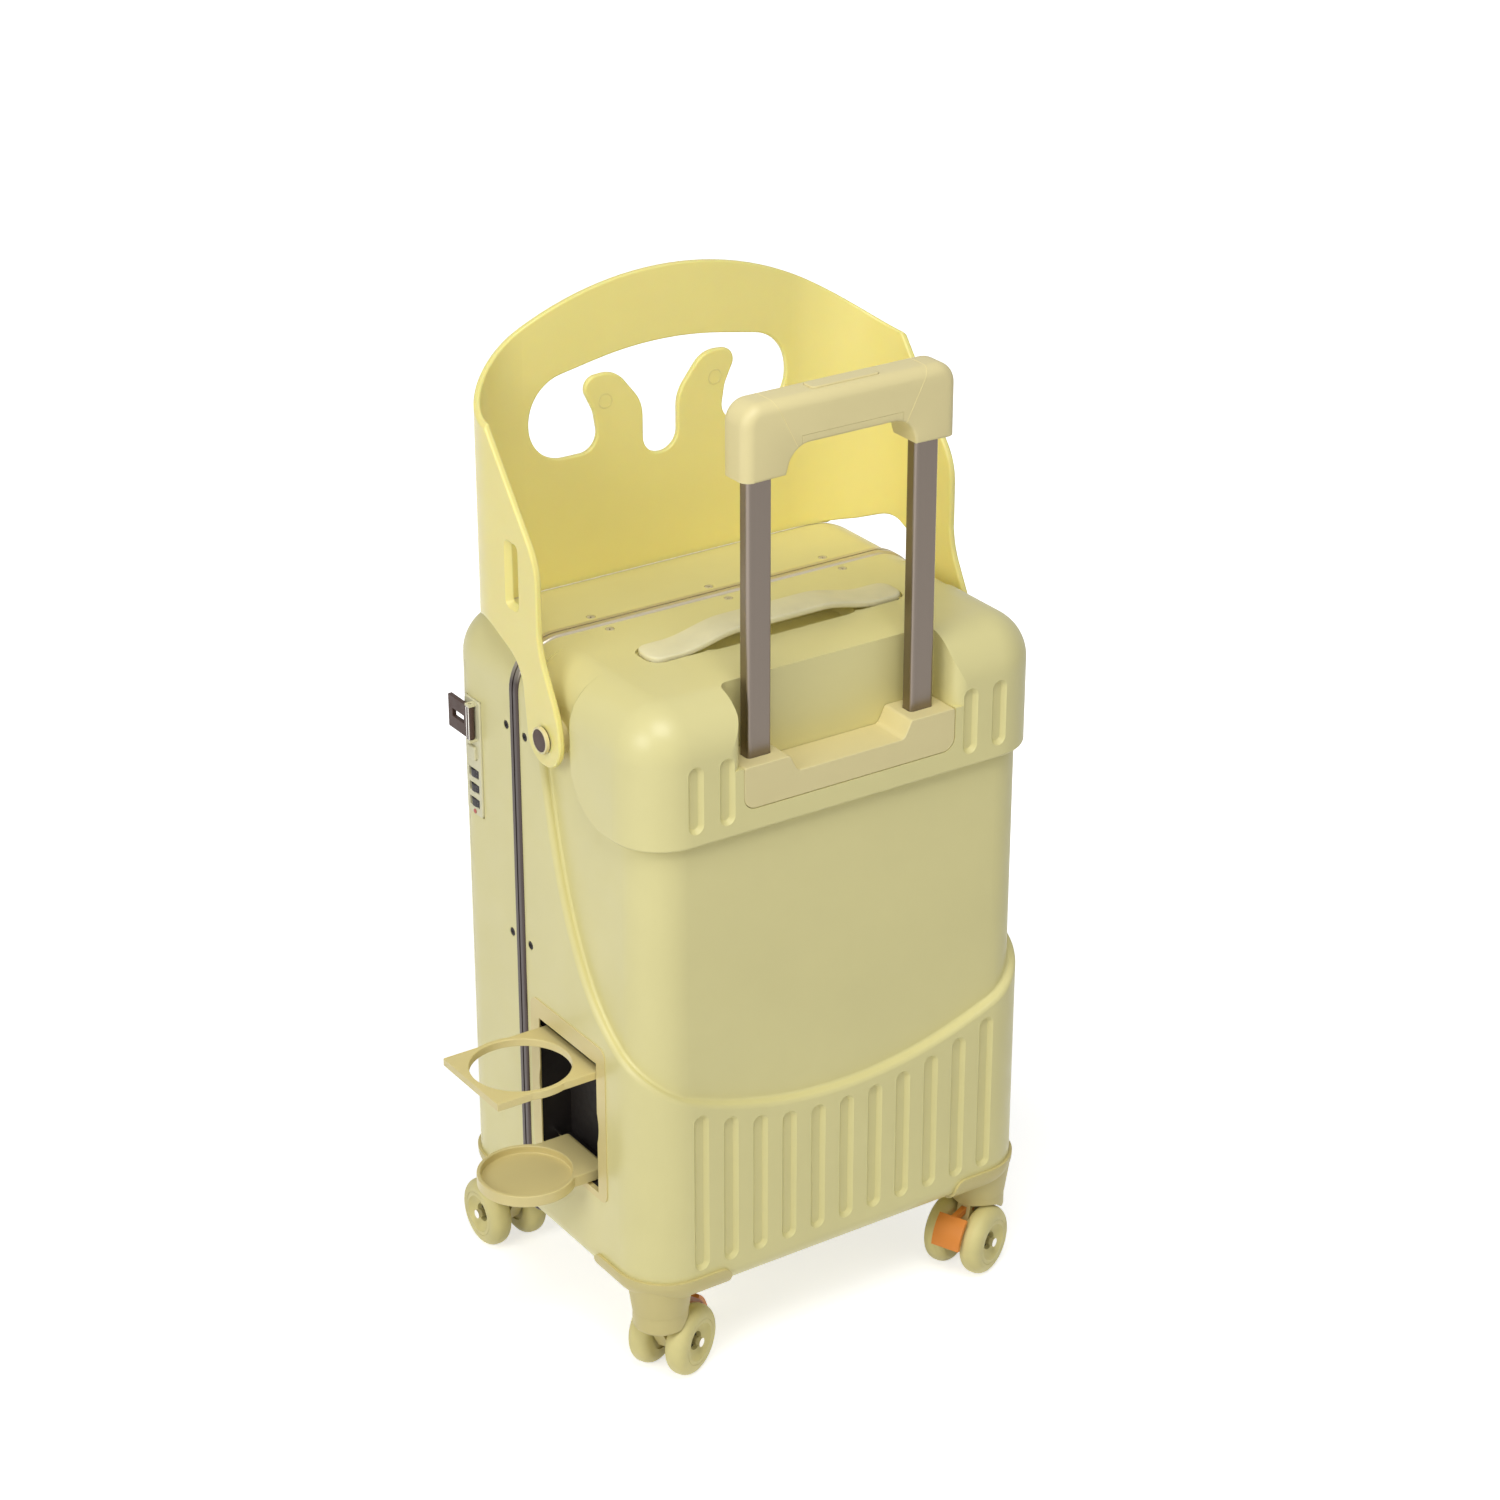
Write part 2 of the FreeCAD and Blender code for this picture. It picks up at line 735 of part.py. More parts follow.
def build_hinges(outer):
    axis_x = half_w + hinge_barrel_r + touch_gap
    leaf_x = half_w + hinge_leaf_t
    shell_leaves, lid_leaves, pins = [], [], []
    third = hinge_length / 3
    clear_r = hinge_barrel_r + touch_gap
    for z in hinge_z:
        foot = z - hinge_length / 2
        middle = (foot + third + touch_gap / 2, third - touch_gap)
        ends = [(foot, third - touch_gap / 2), (foot + 2 * third + touch_gap / 2, third - touch_gap / 2)]
        bore = rod(hinge_pin_r + running_gap, (axis_x, lid_seam_y, foot), (0, 0, 1), hinge_length)

        def knuckle(start, length, r):
            return rod(r, (axis_x, lid_seam_y, start), (0, 0, 1), length)

        near_y = lid_seam_y - lid_gap
        far_y = lid_seam_y + lid_gap
        leaf = box(half_w - shell_wall, leaf_x, lid_seam_y - hinge_leaf_reach, near_y, foot,
                   foot + hinge_length)
        barrels = [knuckle(start, length, hinge_barrel_r) for start, length in ends]
        webs = [box(half_w, axis_x, lid_seam_y - hinge_barrel_r, near_y, start, start + length)
                for start, length in ends]
        room = knuckle(middle[0] - touch_gap, middle[1] + 2 * touch_gap, clear_r)
        shell_leaves.append(fuse(leaf.cut(outer), *(webs + barrels)).cut(bore).cut(room).cut(outer))
        plate = box(half_w - front_corner_r / 2, leaf_x, far_y, lid_seam_y + hinge_leaf_reach, foot,
                    foot + hinge_length).cut(outer)
        web = box(half_w, axis_x, far_y, lid_seam_y + hinge_barrel_r, middle[0], middle[0] + middle[1])
        lid_side = fuse(plate, web, knuckle(middle[0], middle[1], hinge_barrel_r)).cut(bore)
        for start, length in ends:
            lid_side = lid_side.cut(knuckle(start - touch_gap, length + 2 * touch_gap, clear_r))
        lid_leaves.append(lid_side.cut(outer))
        pins.append(knuckle(foot, hinge_length, hinge_pin_r))
    parts["lid_hinge_shell_leaves"] = Part.makeCompound(shell_leaves)
    parts["lid_hinge_lid_leaves"] = Part.makeCompound(lid_leaves)
    parts["lid_hinge_pins"] = Part.makeCompound(pins)


def tube_section(x, grow, z):
    """Section of a trolley tube, grown on every side."""
    return rectangle(x - tube_w / 2 - grow, x + tube_w / 2 + grow, tube_y - tube_d / 2 - grow,
                     tube_y + tube_d / 2 + grow, tube_r + grow, at_z(z))


def tube_block(x, grow, z0, z1):
    return tube_section(x, grow, z0).extrude(V(0, 0, z1 - z0))


def build_trolley():
    w = bezel_width / 2
    dip = bezel_dip_half
    dip_z = bezel_head_z - bezel_dip
    brow = dip + bezel_dip / 2
    corners = [(-w, bezel_foot_z, bezel_corner_r), (w, bezel_foot_z, bezel_corner_r),
               (w, bezel_head_z, bezel_tip_r),
               (brow, bezel_head_z, bezel_brow_r), (dip, dip_z, bezel_dip_r), (-dip, dip_z, bezel_dip_r),
               (-brow, bezel_head_z, bezel_brow_r), (-w, bezel_head_z, bezel_tip_r)]
    depth = bay_depth - bay_gap
    bezel = outline(corners, at_y(handle_y)).extrude(V(0, depth, 0))
    bezel = soften(bezel, fine_edge_r)
    outer_tubes, inner_tubes, feet, rods = [], [], [], []
    inner_foot = bezel_head_z - inner_tube_hidden
    outer_grow = tube_gap + tube_wall
    tube_head = bezel_foot_z - bay_gap
    sleeves = []
    for side in (-1, 1):
        x = side * tube_x
        bezel = bezel.cut(tube_block(x, tube_gap, bezel_foot_z, bezel_head_z))
        sleeve = tube_block(x, outer_grow, outer_tube_foot_z, tube_head)
        outer_tubes.append(sleeve.cut(tube_block(x, tube_gap, outer_tube_foot_z, tube_head)))
        sleeves.append(tube_block(x, outer_grow + slip, bezel_foot_z - 4 * shell_wall, tube_head))
        tube = tube_block(x, 0, inner_foot, tube_top_z)
        inner_tubes.append(tube.cut(tube_block(x, -tube_wall, inner_foot, tube_top_z)))
        plug = tube_block(x, -tube_wall - slip, inner_foot, inner_foot + foot_h)
        feet.append(fuse(tube_block(x, tube_gap - slip, inner_foot - foot_h, inner_foot), plug))
        rod_foot = inner_foot + 2 * foot_h
        rods.append(rod(rod_r, (x, tube_y, rod_foot), (0, 0, 1), yoke_z - rod_foot))
    parts["trolley_bezel"] = bezel
    parts["trolley_outer_tubes"] = Part.makeCompound(outer_tubes)
    parts["trolley_inner_tubes"] = Part.makeCompound(inner_tubes)
    parts["trolley_feet"] = Part.makeCompound(feet)
    parts["release_rods"] = Part.makeCompound(rods)
    inner_wall_y = handle_y + waist_step + shell_wall
    parts["trolley_base"] = box(-tube_x - tube_w, tube_x + tube_w, inner_wall_y, tube_y + tube_d,
                                outer_tube_foot_z - base_h, outer_tube_foot_z)
    parts["back_shell"] = parts["back_shell"].cut(sleeves)


def build_grip():
    w = grip_half_width
    block = grip_block_half
    bar = block - grip_block_slope
    corners = [(-w, grip_foot_z, grip_foot_r), (-block, grip_foot_z, grip_foot_r),
               (-bar, grip_bar_foot_z, grip_bar_r),
               (bar, grip_bar_foot_z, grip_bar_r), (block, grip_foot_z, grip_foot_r),
               (w, grip_foot_z, grip_foot_r),
               (w, grip_head_z, grip_top_r), (-w, grip_head_z, grip_top_r)]
    front = tube_y - grip_depth / 2
    body = outline(corners, at_y(front)).extrude(V(0, grip_depth, 0))
    body = body.makeFillet(grip_edge_r, edges_at(body, "y", front) + edges_at(body, "y", front + grip_depth))
    pocket_w = button_length / 2 + touch_gap
    pocket_d = button_width / 2 + touch_gap
    button_foot = grip_head_z + button_proud - button_h
    room_foot = yoke_z - button_travel - 2 * touch_gap
    yoke_half = tube_x + rod_r + yoke_rim
    yoke_d = rod_r + yoke_rim
    pocket = rectangle(-pocket_w, pocket_w, tube_y - pocket_d, tube_y + pocket_d, button_r, at_z(yoke_z))
    body = body.cut(pocket.extrude(V(0, 0, grip_head_z)))
    body = body.cut(box(-yoke_half - touch_gap, yoke_half + touch_gap, tube_y - yoke_d - touch_gap,
                        tube_y + yoke_d + touch_gap, room_foot, yoke_z + yoke_h + touch_gap))
    for side in (-1, 1):
        body = body.cut(tube_block(side * tube_x, slip, grip_foot_z, tube_top_z))
        body = body.cut(rod(rod_r + touch_gap, (side * tube_x, tube_y, tube_top_z), (0, 0, 1), yoke_lift))
    cover_half = block - cover_inset

    def lower_bar(grow):
        w = cover_half + grow
        return box(-w, w, front - cut_past, front + grip_depth + cut_past, grip_foot_z,
                   grip_bar_foot_z + cover_t + grow)

    parts["grip_cover"] = body.common(lower_bar(0))
    parts["grip_body"] = body.cut(lower_bar(slip))
    cap = rectangle(-button_length / 2, button_length / 2, tube_y - button_width / 2,
                    tube_y + button_width / 2,
                    button_r, at_z(button_foot)).extrude(V(0, 0, button_h))
    cap = cap.makeFillet(button_edge_r, edges_at(cap, "z", button_foot + button_h))
    yoke = box(-yoke_half, yoke_half, tube_y - yoke_d, tube_y + yoke_d, yoke_z, yoke_z + yoke_h)
    stem = box(-button_length / 4, button_length / 4, tube_y - yoke_d, tube_y + yoke_d, yoke_z,
               button_foot + button_h / 2)
    parts["grip_button"] = fuse(cap, yoke, stem)


def build_strap():
    foot = case_top - anchor_h + anchor_plate_t
    end = strap_half_length
    turn = well_half_length + strap_turn
    high = foot + strap_rise
    lower = [(-end, foot, 0), (-turn, foot, strap_turn_r), (-strap_flat, high, strap_flat_r),
             (strap_flat, high, strap_flat_r), (turn, foot, strap_turn_r), (end, foot, 0)]
    upper = [(x, z + strap_t, r) for x, z, r in reversed(lower)]
    w = strap_width / 2
    band = outline(lower + upper, at_y(strap_y - w)).extrude(V(0, strap_width, 0))
    plan = rectangle(-end, end, strap_y - w, strap_y + w, strap_end_r,
                     at_z(foot)).extrude(V(0, 0, 3 * strap_rise))
    band = soften(band.common(plan), soft_edge_r)
    half = anchor_length / 2 - anchor_plate_t
    anchors = []
    for side in (-1, 1):
        x = side * (end - anchor_length / 2)
        peg = (x, strap_y, foot - anchor_plate_t)
        plate = rectangle(x - half, x + half, strap_y - w + anchor_plate_t, strap_y + w - anchor_plate_t,
                          anchor_plate_r, at_z(foot - anchor_plate_t)).extrude(V(0, 0, anchor_plate_t))
        anchors.append(fuse(plate, rod(anchor_peg_r, peg, (0, 0, 1), strap_t)))
        band = band.cut(rod(anchor_peg_r + running_gap, peg, (0, 0, 1), strap_t + 2 * touch_gap))
    parts["carry_strap"] = band
    parts["strap_anchors"] = Part.makeCompound(anchors)


def hand_hole():
    """Hand-hole of the guard: a long opening with two rounded tongues that rise into it."""
    half = [(hole_half, hole_shoulder_z, hole_shoulder_r), (hole_half, hole_foot_z, hole_foot_r),
            (tongue_root, hole_foot_z, tongue_root_r),
            (tongue_side, hole_foot_z + tongue_side_rise, tongue_side_r),
            (tongue_tip, hole_shoulder_z - tongue_tip_drop, tongue_tip_r),
            (tongue_back, hole_shoulder_z, tongue_back_r),
            (tongue_gap, hole_foot_z + tongue_neck_rise, tongue_neck_r),
            (tongue_gap, hole_foot_z - tongue_notch, tongue_notch_r)]
    left = [(-x, z, r) for x, z, r in reversed(half)]
    face = outline([(0, hole_head_z, hole_head_r)] + half + left, at_y(0))
    return face.extrude(V(0, case_depth, 0))


def belt_slot(side):
    """Belt slot through one arm of the guard, with a wide bevel on the outside."""
    w = belt_slot_w / 2
    h = belt_slot_h / 2
    inner_x = side * (arm_in_x - slip)
    bevel_x = side * (arm_in_x + guard_t - belt_slot_bevel)
    outer_x = side * (arm_out_x + slip)

    def section(x, grow):
        return rectangle(belt_slot_y - w - grow, belt_slot_y + w + grow, belt_slot_z - h - grow,
                         belt_slot_z + h + grow,
                         belt_slot_r + grow, at_x(x))

    through = section(inner_x, 0).extrude(V(outer_x - inner_x, 0, 0))
    sides = [section(bevel_x, 0).OuterWire, section(outer_x, belt_slot_bevel).OuterWire]
    return through.fuse(Part.makeLoft(sides, True, True))


def build_guard():
    inner_r = guard_corner_r - guard_t
    back_in = guard_back_y - guard_t
    reach = pivot_y - 3 * arm_end_r

    def horseshoe(x, y, r):
        corners = [(-x, reach, 0), (x, reach, 0), (x, y, r), (-x, y, r)]
        return outline(corners, at_z(0)).extrude(V(0, 0, 2 * guard_top_z))

    wall = horseshoe(arm_out_x, guard_back_y, guard_corner_r).cut(horseshoe(arm_in_x, back_in, inner_r))
    near = pivot_y - arm_end_r
    far = pivot_y + arm_end_r
    foot = pivot_z - arm_end_r
    high = guard_top_z + guard_high
    end_r = arm_end_r - slip
    near_y = pivot_y + arm_near_reach
    side = [(near, foot, end_r), (far, foot, end_r),
            (pivot_y + arm_crook_reach, pivot_z + arm_crook_rise, arm_crook_r),
            (pivot_y + arch_reach, pivot_z + arch_rise, arm_crook_r),
            (guard_back_y - guard_foot_bend, guard_foot_z + guard_foot_lift, guard_foot_r),
            (guard_back_y, guard_foot_z, 0), (case_depth, guard_foot_z, 0), (case_depth, high, 0),
            (back_in - touch_gap, high, 0), (near_y, pivot_z + arm_shoulder_rise, arm_shoulder_r),
            (near_y - touch_gap, pivot_z + arm_waist_rise, arm_waist_r),
            (near, pivot_z + arm_neck_rise, arm_waist_r)]
    wall = wall.common(outline(side, at_x(-case_width)).extrude(V(2 * case_width, 0, 0)))
    reach_x = arm_out_x + 2 * guard_t
    right = V(reach_x, reach, guard_shoulder_z)
    left = V(-reach_x, reach, guard_shoulder_z)
    rim = Part.Arc(left, V(0, reach, guard_top_z), right).toShape()
    lower = Part.makePolygon([right, V(reach_x, reach, 0), V(-reach_x, reach, 0), left])
    front = Part.Face(Part.Wire([rim] + lower.Edges)).extrude(V(0, 2 * case_depth, 0))
    gap = guard_foot_gap
    over_case = case_form(-gap, -gap, -gap, -gap, -gap)
    wall = soften(wall.common(front).cut(hand_hole()), soft_edge_r).cut(over_case)
    parts["guard"] = wall.cut([belt_slot(-1), belt_slot(1), pivot_holes(pivot_shank_r + running_gap)])
    bolts, washers, nuts = [], [], []
    inside_x = half_w - waist_step - shell_wall
    for s in (-1, 1):
        inward = (-s, 0, 0)
        head_x = s * (arm_out_x + touch_gap + pivot_head_h)
        head = rod(pivot_head_r, (head_x, pivot_y, pivot_z), inward, pivot_head_h)
        head = head.makeFillet(pivot_head_edge_r, edges_at(head, "x", head_x))
        shank = rod(pivot_shank_r, (s * (arm_out_x + 2 * touch_gap), pivot_y, pivot_z), inward,
                    arm_out_x - inside_x + pivot_nut_h + screw_tip)
        bolts.append(fuse(head, shank))
        washer = rod(pivot_washer_r, (s * (arm_in_x - touch_gap), pivot_y, pivot_z), inward,
                     arm_in_x - touch_gap - channel_x)
        washers.append(washer.cut(pivot_holes(pivot_shank_r + running_gap)))
        turns = [k * math.pi / 3 for k in range(7)]
        hexagon = [V(s * inside_x, pivot_y + pivot_nut_r * math.cos(a), pivot_z + pivot_nut_r * math.sin(a))
                   for a in turns]
        nut = Part.Face(Part.makePolygon(hexagon)).extrude(V(-s * pivot_nut_h, 0, 0))
        nuts.append(nut.cut(pivot_holes(pivot_shank_r + running_gap)))
    parts["guard_bolts"] = Part.makeCompound(bolts)
    parts["guard_washers"] = Part.makeCompound(washers)
    parts["guard_nuts"] = Part.makeCompound(nuts)


def build_cup_holder():
    face_x = -half_w
    shelf_pin_x = face_x + shelf_pin_setback
    tray_pin_x = face_x + tray_pin_setback
    hole_x = shelf_pin_x - cup_hole_reach
    tray_x = tray_pin_x - tray_reach
    ring_r = cup_hole_r + cup_ring_w
    flange = rectangle(cup_y - cup_bezel_half, cup_y + cup_bezel_half, cup_bezel_foot_z, cup_bezel_head_z,
                       cup_bezel_r, at_x(face_x - cup_bezel_proud)).extrude(V(cup_bezel_proud, 0, 0))
    tub = cup_box(0).common(box(face_x - cup_bezel_proud, 0, -half_d, half_d, 0, case_top))
    room = box(face_x, face_x + cup_box_depth, cup_y - cup_box_half, cup_y + cup_box_half, cup_open_foot_z,
               cup_open_head_z)
    mouth = box(face_x - cut_past, face_x + shelf_t + cup_box_wall, cup_y - cup_open_half,
                cup_y + cup_open_half,
                cup_open_foot_z, cup_open_head_z)
    bulge = rod(ring_r + 2 * touch_gap, (face_x - cut_past, cup_y, shelf_z - cup_hole_reach), (1, 0, 0),
                2 * cut_past)
    pin_start = cup_y - cup_box_half - cup_box_wall
    pin_length = 2 * (cup_box_half + cup_box_wall)
    shelf_pin = rod(cup_pin_r, (shelf_pin_x, pin_start, shelf_z), (0, 1, 0), pin_length)
    tray_pin = rod(cup_pin_r, (tray_pin_x, pin_start, tray_z), (0, 1, 0), pin_length)
    shelf_bore = rod(cup_pin_r + running_gap, (shelf_pin_x, pin_start, shelf_z), (0, 1, 0), pin_length)
    tray_bore = rod(cup_pin_r + running_gap, (tray_pin_x, pin_start, tray_z), (0, 1, 0), pin_length)
    bezel = fuse(flange, tub).cut([room, mouth, bulge, shelf_bore, tray_bore])
    parts["cup_bezel"] = bezel
    plate = box(shelf_pin_x - shelf_reach, shelf_pin_x, cup_y - shelf_half, cup_y + shelf_half,
                shelf_z - shelf_t / 2, shelf_z + shelf_t / 2)
    knuckle = rod(shelf_t / 2, (shelf_pin_x, cup_y - shelf_half, shelf_z), (0, 1, 0), 2 * shelf_half)
    collar = rod(ring_r, (hole_x, cup_y, shelf_z - shelf_t / 2), (0, 0, 1), shelf_t)
    hole = rod(cup_hole_r, (hole_x, cup_y, shelf_z - shelf_t), (0, 0, 1), 2 * shelf_t)
    parts["cup_shelf"] = soften(fuse(plate, knuckle, collar).cut(hole), fine_edge_r).cut(shelf_bore)
    parts["cup_shelf_pin"] = shelf_pin
    foot = tray_z - tray_h / 2
    dish = rod(tray_r, (tray_x, cup_y, foot), (0, 0, 1), tray_h)
    neck = box(tray_x, tray_pin_x, cup_y - tray_neck_half, cup_y + tray_neck_half, foot, foot + tray_h)
    knuckle = rod(tray_h / 2, (tray_pin_x, cup_y - tray_neck_half, tray_z), (0, 1, 0), 2 * tray_neck_half)
    hollow = rod(tray_r - tray_rim, (tray_x, cup_y, foot + tray_floor_t), (0, 0, 1), tray_h)
    parts["cup_tray"] = soften(fuse(dish, neck, knuckle).cut(hollow), fine_edge_r).cut(tray_bore)
    parts["cup_tray_pin"] = tray_pin


def build_lock():
    face_x = -half_w
    out_x = face_x - lock_proud
    back_x = out_x + lock_plate_t
    mid_y = (lock_near_y + lock_far_y) / 2
    dial_x = out_x + dial_r - dial_proud
    plate = rectangle(lock_near_y, lock_far_y, lock_foot_z, lock_head_z, lock_plate_r, at_x(out_x))
    plate = plate.extrude(V(lock_plate_t, 0, 0))
    plate = plate.makeFillet(fine_edge_r, edges_at(plate, "x", out_x))
    lug_r = dial_axle_r + lug_wall
    lugs = []
    low = dial_z[0] - dial_w / 2 - lug_t - touch_gap
    high = dial_z[-1] + dial_w / 2 + touch_gap
    for z in (low, high):
        lugs.append(box(out_x + lock_plate_t / 4, dial_x + lug_r, mid_y - lug_r, mid_y + lug_r, z, z + lug_t))
    bore = rod(dial_axle_r + running_gap, (dial_x, mid_y, low), (0, 0, 1), high - low + lug_t)
    windows = []
    half_window = math.sqrt(dial_r ** 2 - (dial_x - back_x) ** 2) + 2 * touch_gap
    for z in dial_z:
        windows.append(box(out_x - cut_past, back_x + slip, mid_y - half_window, mid_y + half_window,
                           z - dial_w / 2 - touch_gap, z + dial_w / 2 + touch_gap))
    size = lock_button_size / 2
    button_hole = rectangle(mid_y - size - touch_gap, mid_y + size + touch_gap,
                            lock_button_z - size - touch_gap,
                            lock_button_z + size + touch_gap, lock_button_r, at_x(out_x - cut_past))
    button_hole = button_hole.extrude(V(cut_past + 2 * lock_plate_t, 0, 0))
    lamp = rod(indicator_r + slip, (out_x - cut_past, mid_y, indicator_z), (1, 0, 0),
               cut_past + 2 * lock_plate_t)
    pin_x = out_x - latch_pin_r - latch_pin_gap
    pin_y = lock_near_y + latch_pin_inset
    ears = []
    for z in (latch_z - latch_h / 2 - ear_t - touch_gap, latch_z + latch_h / 2 + touch_gap):
        ears.append(box(pin_x - latch_pin_r - ear_wall, out_x + lock_plate_t / 4, pin_y - ear_half,
                        pin_y + ear_half,
                        z, z + ear_t))
    pin = rod(latch_pin_r, (pin_x, pin_y, latch_z - latch_h / 2 - ear_t), (0, 0, 1), latch_h + 2 * ear_t)
    pin_bore = rod(latch_pin_r + running_gap, (pin_x, pin_y, latch_z - latch_h), (0, 0, 1), 2 * latch_h)
    parts["lock_plate"] = fuse(plate, *(lugs + ears)).cut(windows + [bore, button_hole, lamp, pin_bore])
    for number, z in enumerate(dial_z, 1):
        dial = rod(dial_r, (dial_x, mid_y, z - dial_w / 2), (0, 0, 1), dial_w)
        parts["lock_dial_%d" % number] = dial.cut(bore)
    parts["lock_dial_axle"] = rod(dial_axle_r, (dial_x, mid_y, low), (0, 0, 1), high - low + lug_t)
    button = rectangle(mid_y - size, mid_y + size, lock_button_z - size, lock_button_z + size, lock_button_r,
                       at_x(out_x - lock_button_travel)).extrude(V(lock_plate_t + lock_button_travel, 0, 0))
    parts["lock_button"] = button.makeFillet(fine_edge_r, edges_at(button, "x", out_x - lock_button_travel))
    parts["lock_indicator"] = rod(indicator_r, (out_x - indicator_proud, mid_y, indicator_z), (1, 0, 0),
                                  lock_plate_t)
    tip_y = lid_seam_y + latch_reach
    z0 = latch_z - latch_h / 2
    arm = box(pin_x - latch_t / 2, pin_x + latch_t / 2, pin_y, tip_y, z0, z0 + latch_h)
    arm = arm.makeFillet(latch_t / 2 - slip, edges_at(arm, "y", tip_y))
    barrel = rod(2 * latch_pin_r, (pin_x, pin_y, z0), (0, 0, 1), latch_h)
    window = box(pin_x - latch_t, pin_x + latch_t, pin_y + latch_window, tip_y - latch_window, z0 + latch_bar,
                 z0 + latch_h - latch_bar)
    parts["lock_latch"] = soften(fuse(arm, barrel).cut(window), fine_edge_r / 2).cut(pin_bore)
    parts["lock_latch_pin"] = pin


def build_keeper(outer):
    """Keeper plate let into the lid under the latch's tip."""
    half = latch_h / 2 - keeper_inset
    zone = box(-half_w - cut_past, -half_w + front_corner_r, lid_seam_y + keeper_inset,
               lid_seam_y + latch_reach,
               latch_z - half, latch_z + half)
    skin = case_form(shell_wall / 2, shell_wall / 2, shell_wall / 2, 0, 0)
    plate = zone.common(outer).cut(skin)
    parts["lock_keeper"] = plate
    parts["front_lid"] = parts["front_lid"].cut(plate)


def corner_zone(sx, sy):
    """Corner of the case bottom that one corner guard wraps."""
    x0, x1 = sorted((sx * (half_w - corner_guard_length), sx * case_width))
    y0, y1 = sorted((sy * (half_d - corner_guard_side), sy * case_depth))
    r = corner_guard_end_r
    front = rectangle(x0, x1, -case_top, corner_guard_head_z, r, at_y(-case_depth))
    side = rectangle(y0, y1, -case_top, corner_guard_head_z, r, at_x(-case_width))
    return front.extrude(V(0, 2 * case_depth, 0)).common(side.extrude(V(2 * case_width, 0, 0)))


def build_casters(outer):
    t = corner_guard_t
    inside = case_form(-slip, -slip, -slip, -slip, 0)
    skin = case_form(-t, -t, -t, -t, 0).cut(inside)
    plate_head = cone_foot_z - touch_gap
    guard_foot = case_bottom - t
    for name, sx, sy, yaw, brake in casters:
        here = V(sx * swivel_x, swivel_far_y if sy > 0 else swivel_near_y, 0)
        foot = V(here.x, here.y, cone_foot_z)
        boss_h = corner_guard_head_z - corner_guard_end_r - cone_foot_z
        boss = Part.makeCone(cone_foot_r, cone_top_r, boss_h, foot, V(0, 0, 1)).cut(inside)
        bore = rod(stem_r + running_gap, (here.x, here.y, 0), (0, 0, 1), case_bottom - slip - t / 2)
        parts["corner_guard_" + name] = fuse(skin.common(corner_zone(sx, sy)), boss).cut(bore)
        for piece, shape in caster_pieces(plate_head, guard_foot, brake).items():
            shape.rotate(V(0, 0, 0), V(0, 0, 1), yaw)
            shape.translate(here)
            parts["%s_%s" % (piece, name)] = shape


